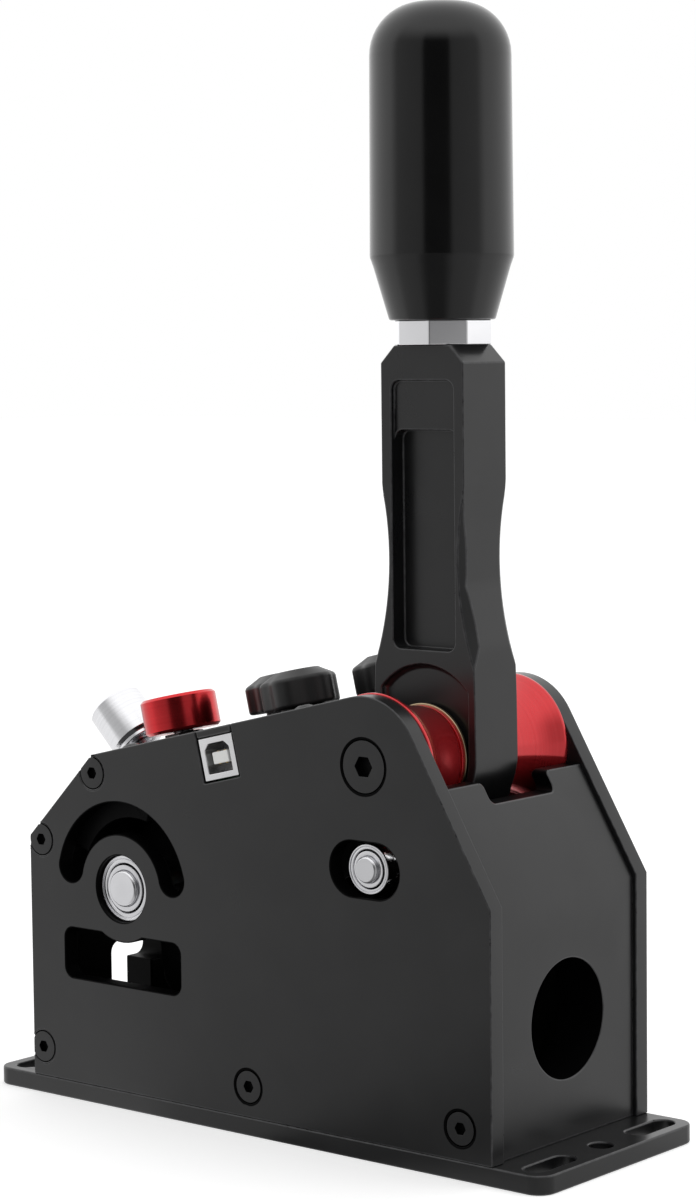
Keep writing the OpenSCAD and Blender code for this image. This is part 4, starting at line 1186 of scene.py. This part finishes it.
@dataclass(frozen=True)
class Bearing:
    """Section of a shielded ball bearing, in millimetres."""

    outer_r: float
    shield_r: float
    inner_r: float
    bore_r: float
    width: float = 3.4
    inset: float = 0.02
    land_share: float = 0.34
    crimp_share: float = 0.12
    rise_share: float = 0.04
    dome_share: float = 0.12
    crimp_drop: float = 0.45
    rise_drop: float = 0.2
    dome_drop: float = 0.16
    edge_drop: float = 0.5
    shell_facets: int = 96
    ring_facets: int = 72

    def land(self) -> float:
        """Radius where the outer ring ends and the shield starts."""
        return self.outer_r - self.land_share * (self.outer_r - self.shield_r)

    def shell(self, name: str) -> bpy.types.Object:
        """Outer ring with a pressed shield on each face.

        Args:
            name: Name of the new object.

        Returns:
            The new object, standing on the XY plane.
        """
        outer, inner, width = self.outer_r, self.shield_r, self.width
        span = outer - inner
        land = self.land()
        crimp = land - self.crimp_share * span
        face, seat = width - self.inset, width - self.crimp_drop
        half: list[Corner] = [
            (outer, width / 2, 0.0), (outer, face, 0.28), (land, face, 0.06), (land, seat, 0.05),
            (crimp, seat, 0.05), (crimp - self.rise_share * span, width - self.rise_drop, 0.08),
            (inner + self.dome_share * span, width - self.dome_drop, 0.15),
            (inner, width - self.edge_drop, 0.1),
        ]
        mirrored = [(r, width - z, radius) for r, z, radius in reversed(half[1:])]
        return Bench.lathe(name, rounded(half + mirrored, closed=True, segments=3), self.shell_facets)

    def ring(self, name: str) -> bpy.types.Object:
        """Inner ring.

        Args:
            name: Name of the new object.

        Returns:
            The new object, standing on the XY plane.
        """
        outer, bore, low, top = self.inner_r, self.bore_r, self.inset, self.width - self.inset
        corners = [(bore, low, 0.2), (outer, low, 0.12), (outer, top, 0.12), (bore, top, 0.2)]
        return Bench.lathe(name, rounded(corners, closed=True), self.ring_facets)


@dataclass
class CrossPin(SubAssembly):
    """Pin at the lever's foot with its rollers."""

    bearing: Bearing = Bearing(outer_r=6.5, shield_r=5.1, inner_r=4.7, bore_r=3.55)
    edge: float = 0.12

    def build(self) -> None:
        """Builds and dresses every piece."""
        axis = (self.layout.cross_pin, self.layout.inner)
        shell = self.bearing.shell("right_roller_detail")
        twin = self.on_both_sides(shell, "left_roller_detail", *axis)
        ring = self.bearing.ring("roller_inner_rings_detail")
        other = self.on_both_sides(ring, "left_roller_inner_ring", *axis)
        self.seat(shell, (Coat.RING_PIN,), "right_roller")
        self.seat(twin, (Coat.RING_PIN,), "left_roller")
        self.seat(Bench.join(ring, other), (Coat.RING_PIN,), "roller_inner_rings")
        self.machined("cross_pin", Coat.STEEL, self.edge, segments=2)
        self.coat_cad(Coat.STEEL, "pin_spacers")


@dataclass
class Linkage(SubAssembly):
    """Link, rocker and front shaft with its bearings."""

    bearing: Bearing = Bearing(outer_r=9.2, shield_r=6.8, inner_r=6.4, bore_r=5.05)
    race_shade_slot: int = 1
    shaft_edge: float = 0.12
    link_edge: float = 0.3

    def build(self) -> None:
        """Builds and dresses every piece."""
        axis = (self.layout.shaft, self.layout.inner)
        land = self.bearing.land() * MM
        shell = self.bearing.shell("shaft_outer_rings_detail")
        # Painted shade: the outer ring's faces take the dark race finish
        self.mark(shell, self.race_shade_slot, lambda face: math.hypot(*face.center[:2]) > land)
        twin = self.on_both_sides(shell, "left_shaft_outer_ring", *axis)
        ring = self.bearing.ring("shaft_inner_rings_detail")
        other = self.on_both_sides(ring, "left_shaft_inner_ring", *axis)
        self.seat(Bench.join(shell, twin), (Coat.RING_SHAFT, Coat.RACE), "shaft_outer_rings")
        self.seat(Bench.join(ring, other), (Coat.RING_SHAFT,), "shaft_inner_rings")
        self.machined("front_shaft", Coat.STEEL, self.shaft_edge, segments=2)
        # Link, rocker and rocker pin take the near-black painted shade, as they sit in shade inside
        for node in ("connecting_link", "rocker"):
            self.machined(node, Coat.INNER, self.link_edge)
        self.coat_cad(Coat.INNER, "rocker_pin")
        self.coat_cad(Coat.STEEL, "shaft_spacers")


@dataclass
class Adjusters(SubAssembly):
    """Red and silver knobs on their threaded screws, with what they press on."""

    red_at: float = 39.854
    red_r: float = 10.7
    red_h: float = 10.2
    silver_at: float = 45.481
    silver_r: float = 8.2
    silver_h: float = 15.2
    step_r: float = 7.0
    step_h: float = 1.2
    chamfer: float = 0.8
    hole_r: float = 3.05
    hole: float = 6.0
    screw_from: float = 28.7
    thread_r: float = 3.0
    root_r: float = 2.42
    pitch: float = 1.0
    screw_gap: float = 0.1
    nut_edge: float = 0.25
    dish_rim: float = 1.2
    dish_from: float = 1.7
    dish: float = 0.3
    dish_middle: float = 0.35
    dimple_r: float = 1.2
    dimple: float = 0.9

    def build(self) -> None:
        """Builds and dresses every piece."""
        for name, radius, height, step, place, coat in (
            ("red_knob", self.red_r, self.red_h, 0.0, self.layout.red_axis(self.red_at), Coat.RED_UP),
            (
                "silver_knob", self.silver_r, self.silver_h, self.step_h,
                self.layout.silver_axis(self.silver_at), Coat.ALLOY_KNOB,
            ),
        ):
            knob = Bench.lathe(name + "_detail", self.knob_outline(radius, height, step), FACETS)
            self.seat(Bench.place(knob, place), (coat,), name)
        for node, axis, knob_at in (
            ("red_adjuster_screw", self.layout.red_axis, self.red_at),
            ("silver_adjuster_screw", self.layout.silver_axis, self.silver_at),
        ):
            length = knob_at + self.hole - self.screw_from
            rod = Bench.thread(node + "_detail", self.thread_r, self.root_r, self.pitch, length)
            Bench.place(rod, axis(self.screw_from + self.screw_gap))
            self.seat(rod, (Coat.THREAD,), node)
        for node in ("red_lock_nut", "silver_lock_nut"):
            self.machined(node, Coat.OXIDE, self.nut_edge)
        self.coat_cad(Coat.STEEL, "red_plunger", "silver_plunger", "red_spring", "silver_spring")

    def knob_outline(self, radius: float, height: float, step: float) -> Outline:
        """Section of a turned knob with a dished top and a blind hole.

        Args:
            radius: Radius of the knob in millimetres.
            height: Height over all.
            step: Height of the narrow step below, or 0 for none.

        Returns:
            The outline from the bottom of the hole to the middle of the top.
        """
        cut = self.chamfer
        corners: list[Corner] = [(0, self.hole, 0), (self.hole_r, self.hole, 0.2), (self.hole_r, 0, 0.2)]
        if step:
            corners += [(self.step_r, 0, 0.3), (self.step_r, step, 0.15)]
        corners += [
            (radius - cut, step, 0.12), (radius, step + cut, 0.15), (radius, height - cut, 0.15),
            (radius - cut, height, 0.12), (radius - cut - self.dish_rim, height, 0.1),
            (radius - cut - self.dish_from, height - self.dish, 0.1),
            (self.dimple_r, height - self.dish_middle, 0.1), (0.0, height - self.dimple, 0),
        ]
        return rounded(corners)


@dataclass
class StarKnobs(SubAssembly):
    """Three moulded star knobs with their studs."""

    radius: float = 10.8
    low: float = 1.6
    height: float = 7.6
    shoulder: float = 2.4
    cap_r: float = 6.0
    foot: float = -0.7
    lobes: int = 5
    valley_deep: float = 1.6
    valley_sharp: float = 1.3
    turn: float = -5.1
    cap_rim: float = 1.0
    cap_from: float = 1.2
    cap_dish: float = 0.12
    facets: int = 160
    spots: tuple[tuple[str, float, float, float], ...] = (
        ("front", 52.8, -4.0, 0.0), ("left", 31.2, 13.9, 1.2), ("rear", 69.2, 15.9, 0.0),
    )

    def build(self) -> None:
        """Builds and dresses every piece."""
        knob = self.star("star_knob_pattern")
        for name, along, y, lift in self.spots:
            copy = Bench.twin(knob, f"{name}_star_knob_detail")
            Bench.place(copy, self.layout.on_top(along, y, lift))
            self.seat(copy, (Coat.STAR,), f"{name}_star_knob")
            self.coat_cad(Coat.STEEL, f"{name}_star_stud")
        bpy.data.objects.remove(knob)

    def star(self, name: str) -> bpy.types.Object:
        """Round body with shallow valleys, a sloped shoulder and a hub below.

        Args:
            name: Name of the new object.

        Returns:
            The new object, standing on the sloped top's own plane.
        """
        rim = self.low + self.height
        top = rim + self.shoulder
        outline = rounded([
            (0, self.foot, 0), (self.cap_r, self.foot, 0.3), (self.cap_r, self.low, 0.3),
            (self.radius, self.low, 0.9), (self.radius, rim, 1.4), (self.cap_r, top, 0.6),
            (self.cap_r - self.cap_rim, top, 0.1), (self.cap_r - self.cap_from, top - self.cap_dish, 0.1),
            (0, top - self.cap_dish, 0),
        ])
        body = Bench.lathe(name, outline, self.facets)
        first = math.radians(self.turn + 180 / self.lobes)
        with Bench.editing(body):
            mesh = bmesh.from_edit_mesh(body.data)
            for vert in mesh.verts:
                r = math.hypot(vert.co.x, vert.co.y) / MM
                out = max(0.0, (r - self.cap_r) / (self.radius - self.cap_r))
                wave = 0.5 + 0.5 * math.cos(self.lobes * (math.atan2(vert.co.y, vert.co.x) - first))
                pull = 1.0 - self.valley_deep * out * wave ** self.valley_sharp / max(r, self.cap_r)
                vert.co.x *= pull
                vert.co.y *= pull
            bmesh.update_edit_mesh(body.data)
        Bench.even_shading(body)
        return body


@dataclass
class SensorBay(SubAssembly):
    """Tray, circuit board and USB socket under the top cover."""

    usb_along: float = 46.2
    usb_middle: float = -7.95
    mouth_y: float = -33.7
    tongue_h: float = 3.2
    tongue_back: float = 0.8
    contact: tuple[float, float, float] = (0.9, 7.0, 0.3)
    contact_back: float = 0.8
    contact_off: float = 1.25
    contact_edge: float = 0.08
    shell_edge: float = 0.22
    tongue_edge: float = 0.3

    def build(self) -> None:
        """Builds and dresses every piece."""
        self.machined("usb_shell", Coat.TIN, self.shell_edge)
        tongue = self.machined("usb_tongue", Coat.WHITE, self.tongue_edge)
        self.add_contacts(tongue)
        # Painted shade over the sensor tray
        self.coat_cad(Coat.INNER, "sensor_tray")
        self.coat_cad(Coat.BOARD, "circuit_board")
        self.coat_cad(Coat.CHIP, "board_parts")
        self.coat_cad(Coat.STEEL, "board_standoffs", "board_screws")

    def add_contacts(self, tongue: bpy.types.Object) -> None:
        """Four plated contacts on the tongue, two above and two below.

        Args:
            tongue: Tongue that carries them.
        """
        wide, long, thick = self.contact
        Bench.clear()
        bpy.ops.mesh.primitive_cube_add(size=MM)
        blade = bpy.context.active_object
        blade.name = blade.data.name = "usb_contact"
        Bench.place(blade, Matrix.Diagonal((wide, long, thick, 1.0)))
        Bench.break_edges(blade, self.contact_edge, 2)
        y = self.mouth_y + self.tongue_back + self.contact_back + long / 2
        spots = [(u, n) for u in (-self.contact_off, self.contact_off) for n in (-1, 1)]
        for index, (u, n) in enumerate(spots):
            copy = Bench.twin(blade, f"usb_contact_{index + 1}")
            out = self.usb_middle + n * (self.tongue_h / 2)
            Bench.place(copy, self.layout.on_top(self.usb_along + u, y, out))
            copy.data.materials.append(self.finishes[Coat.GOLD])
            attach(copy, frame["nodes"]["usb_tongue"]["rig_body"])
        bpy.data.objects.remove(blade)
        LOG.info("%s carries %d contacts", tongue.name, len(spots))


WALL_STOPS = (
    (0.0, 0.92), (0.41, 0.92), (0.58, 0.90), (0.69, 0.44), (0.955, 0.36), (0.972, 0.04), (1.0, 0.04),
)
FLOOR_STOPS = (
    (0.0, 1.0), (0.58, 1.0), (0.68, 0.70), (0.80, 0.64), (0.93, 0.58), (0.965, 0.34), (0.985, 0.2),
    (1.0, 0.2),
)


@dataclass
class Studio:
    """Camera, floor and soft light: eye, lens and sensor in millimetres, other lengths in metres."""

    eye: tuple[float, float, float] = (522.393, -615.623, 207.465)
    azimuth: float = 39.8965
    elevation: float = 4.814
    roll: float = -0.6299
    lens: float = 90.481
    gap_azimuth: float = 31.4
    fill: float = 0.8
    reach: float = 1.22
    floor_half: float = 6.0
    floor_glow: float = 0.45
    floor_reach: float = 0.94
    floor_shade: float = 0.82
    roof: tuple[float, float] = (0.35, 0.85)
    sensor: float = 36.0
    clip: tuple[float, float] = (0.01, 50.0)
    lamp_size: tuple[float, float] = (1.2, 0.9)
    lamp_power: float = 5.0
    lamp_at: tuple[float, float, float] = (0.25, 0.45, 1.5)
    lamp_aim: tuple[float, float, float] = (0.0, 0.0, 0.1)

    def build(self) -> None:
        """Builds the camera, the floor, the world and the lamp."""
        bpy.context.scene.view_settings.view_transform = "Standard"
        self.build_camera()
        self.build_floor()
        self.build_world()
        self.build_lamp()
        LOG.info("studio ready")

    def build_camera(self) -> None:
        """Camera at the viewing angle of the photograph."""
        az, el, roll = (math.radians(a) for a in (self.azimuth, self.elevation, self.roll))
        back = Vector((math.sin(az) * math.cos(el), -math.cos(az) * math.cos(el), math.sin(el)))
        right = Vector((math.cos(az), math.sin(az), 0.0))
        up = back.cross(right)
        rolled_right = math.cos(roll) * right + math.sin(roll) * up
        rolled_up = -math.sin(roll) * right + math.cos(roll) * up
        turn = Matrix((rolled_right, rolled_up, back)).transposed().to_4x4()
        data = bpy.data.cameras.new("camera")
        data.lens = self.lens
        data.sensor_width = self.sensor
        data.clip_start, data.clip_end = self.clip
        camera = bpy.data.objects.new("camera", data)
        bpy.context.scene.collection.objects.link(camera)
        camera.matrix_world = Matrix.Translation(Vector(self.eye) * MM) @ turn
        bpy.context.scene.camera = camera

    @staticmethod
    def rays(graph: Graph) -> tuple[Any, Any]:
        """Sockets that tell what kind of ray asks.

        Args:
            graph: Graph of the material or world.

        Returns:
            The socket for camera rays and the one for mirrored or bent rays.
        """
        path = graph.add("LightPath").outputs
        shiny = graph.math("MAXIMUM", path["Is Glossy Ray"], path["Is Transmission Ray"])
        return path["Is Camera Ray"], shiny

    def build_floor(self) -> None:
        """White floor that keeps the shifter's shadow."""
        Bench.clear()
        bpy.ops.mesh.primitive_plane_add(size=2 * self.floor_half)
        floor = bpy.context.active_object
        floor.name = "floor"
        material = bpy.data.materials.new("floor_white")
        material.use_nodes = True
        graph = Graph(material.node_tree)
        camera_ray, shiny = self.rays(graph)
        matte = graph.add("BsdfDiffuse", None, {"Color": (*[self.floor_shade] * 3, 1.0)})
        glow = graph.math("MULTIPLY", camera_ray, self.floor_glow)
        lift = graph.add("Emission", None, {"Color": (1, 1, 1, 1), "Strength": glow})
        seen = graph.add("AddShader", None, {0: matte.outputs[0], 1: lift.outputs[0]})
        place = graph.add("TexCoord").outputs["Object"]
        level = graph.math("MULTIPLY", self.round_about(graph, place, FLOOR_STOPS), self.floor_reach)
        mirrored = graph.add("Emission", None, {"Color": (1, 1, 1, 1), "Strength": level})
        either = graph.add("MixShader", None, {0: shiny, 1: seen.outputs[0], 2: mirrored.outputs[0]})
        graph.add("OutputMaterial", None, {0: either.outputs[0]})
        floor.data.materials.append(material)

    def round_about(self, graph: Graph, way: Any, stops: Sequence[tuple[float, float]]) -> Any:
        """Brightness by compass direction.

        Args:
            graph: Graph of the material or world.
            way: Direction, or place on the floor, seen from the middle.
            stops: Place between straight away from the gap, 0, and straight to it, 1, with its brightness.

        Returns:
            The brightness socket.
        """
        x, y, _ = graph.add("SeparateXYZ", None, {0: way}).outputs
        gap = math.radians(self.gap_azimuth)
        level = graph.length(x, y)
        towards = graph.math(
            "ADD", graph.math("MULTIPLY", x, math.sin(gap)), graph.math("MULTIPLY", y, -math.cos(gap))
        )
        cosine = graph.math("DIVIDE", towards, graph.math("MAXIMUM", level, 0.001))
        ramp = graph.add("ValToRGB", None, {0: graph.math("MULTIPLY_ADD", cosine, 0.5, 0.5)})
        points = ramp.color_ramp.elements
        while len(points) < len(stops):
            points.new(0.5)
        for point, (place, value) in zip(points, stops):
            point.position = place
            point.color = (value, value, value, 1.0)
        return ramp.outputs[0]

    def build_world(self) -> None:
        """White all round, with a dark gap where the camera stands as metal sees it."""
        world = bpy.data.worlds.new("studio")
        bpy.context.scene.world = world
        world.use_nodes = True
        graph = Graph(world.node_tree)
        way = graph.add("TexCoord").outputs["Generated"]
        z = graph.add("SeparateXYZ", None, {0: way}).outputs[2]
        around = self.round_about(graph, way, WALL_STOPS)
        rise = {0: z, 1: self.roof[0], 2: self.roof[1], 3: 0.0, 4: 1.0}
        high = graph.add("MapRange", {"interpolation_type": "SMOOTHSTEP"}, rise)
        walls = graph.add("Mix", None, {0: high.outputs[0], 2: around, 3: 1.0}).outputs[0]
        studio = graph.math("MULTIPLY", walls, self.reach)
        camera_ray, shiny = self.rays(graph)
        lit = graph.add("Mix", None, {0: shiny, 2: self.fill, 3: studio}).outputs[0]
        strength = graph.add("Mix", None, {0: camera_ray, 2: lit, 3: 1.0}).outputs[0]
        backdrop = graph.add("Background", None, {"Color": (1, 1, 1, 1), "Strength": strength})
        graph.add("OutputWorld", None, {0: backdrop.outputs[0]})

    def build_lamp(self) -> None:
        """Broad soft lamp above and behind."""
        data = bpy.data.lights.new("top_lamp", "AREA")
        data.shape = "RECTANGLE"
        data.size, data.size_y = self.lamp_size
        data.energy = self.lamp_power
        lamp = bpy.data.objects.new("top_lamp", data)
        bpy.context.scene.collection.objects.link(lamp)
        spot = Vector(self.lamp_at)
        lamp.location = spot
        lamp.visible_glossy = False
        lamp.rotation_mode = "QUATERNION"
        lamp.rotation_quaternion = (Vector(self.lamp_aim) - spot).to_track_quat("-Z", "Y")


def main() -> None:
    """Builds the studio and every sub-assembly in order."""
    logging.basicConfig(level=logging.INFO, format="%(name)s: %(message)s")
    layout = Layout()
    Studio().build()
    finishes = FinishBook(layout)
    kinds = (Housing, Fasteners, LeverPivot, LeverArm, CrossPin, Linkage, Adjusters, StarKnobs, SensorBay)
    for kind in kinds:
        assembly = kind(layout, finishes)
        assembly.build()
        LOG.info("%s built", kind.__name__)
    Bench.clear()


if __name__ == "__main__":
    main()
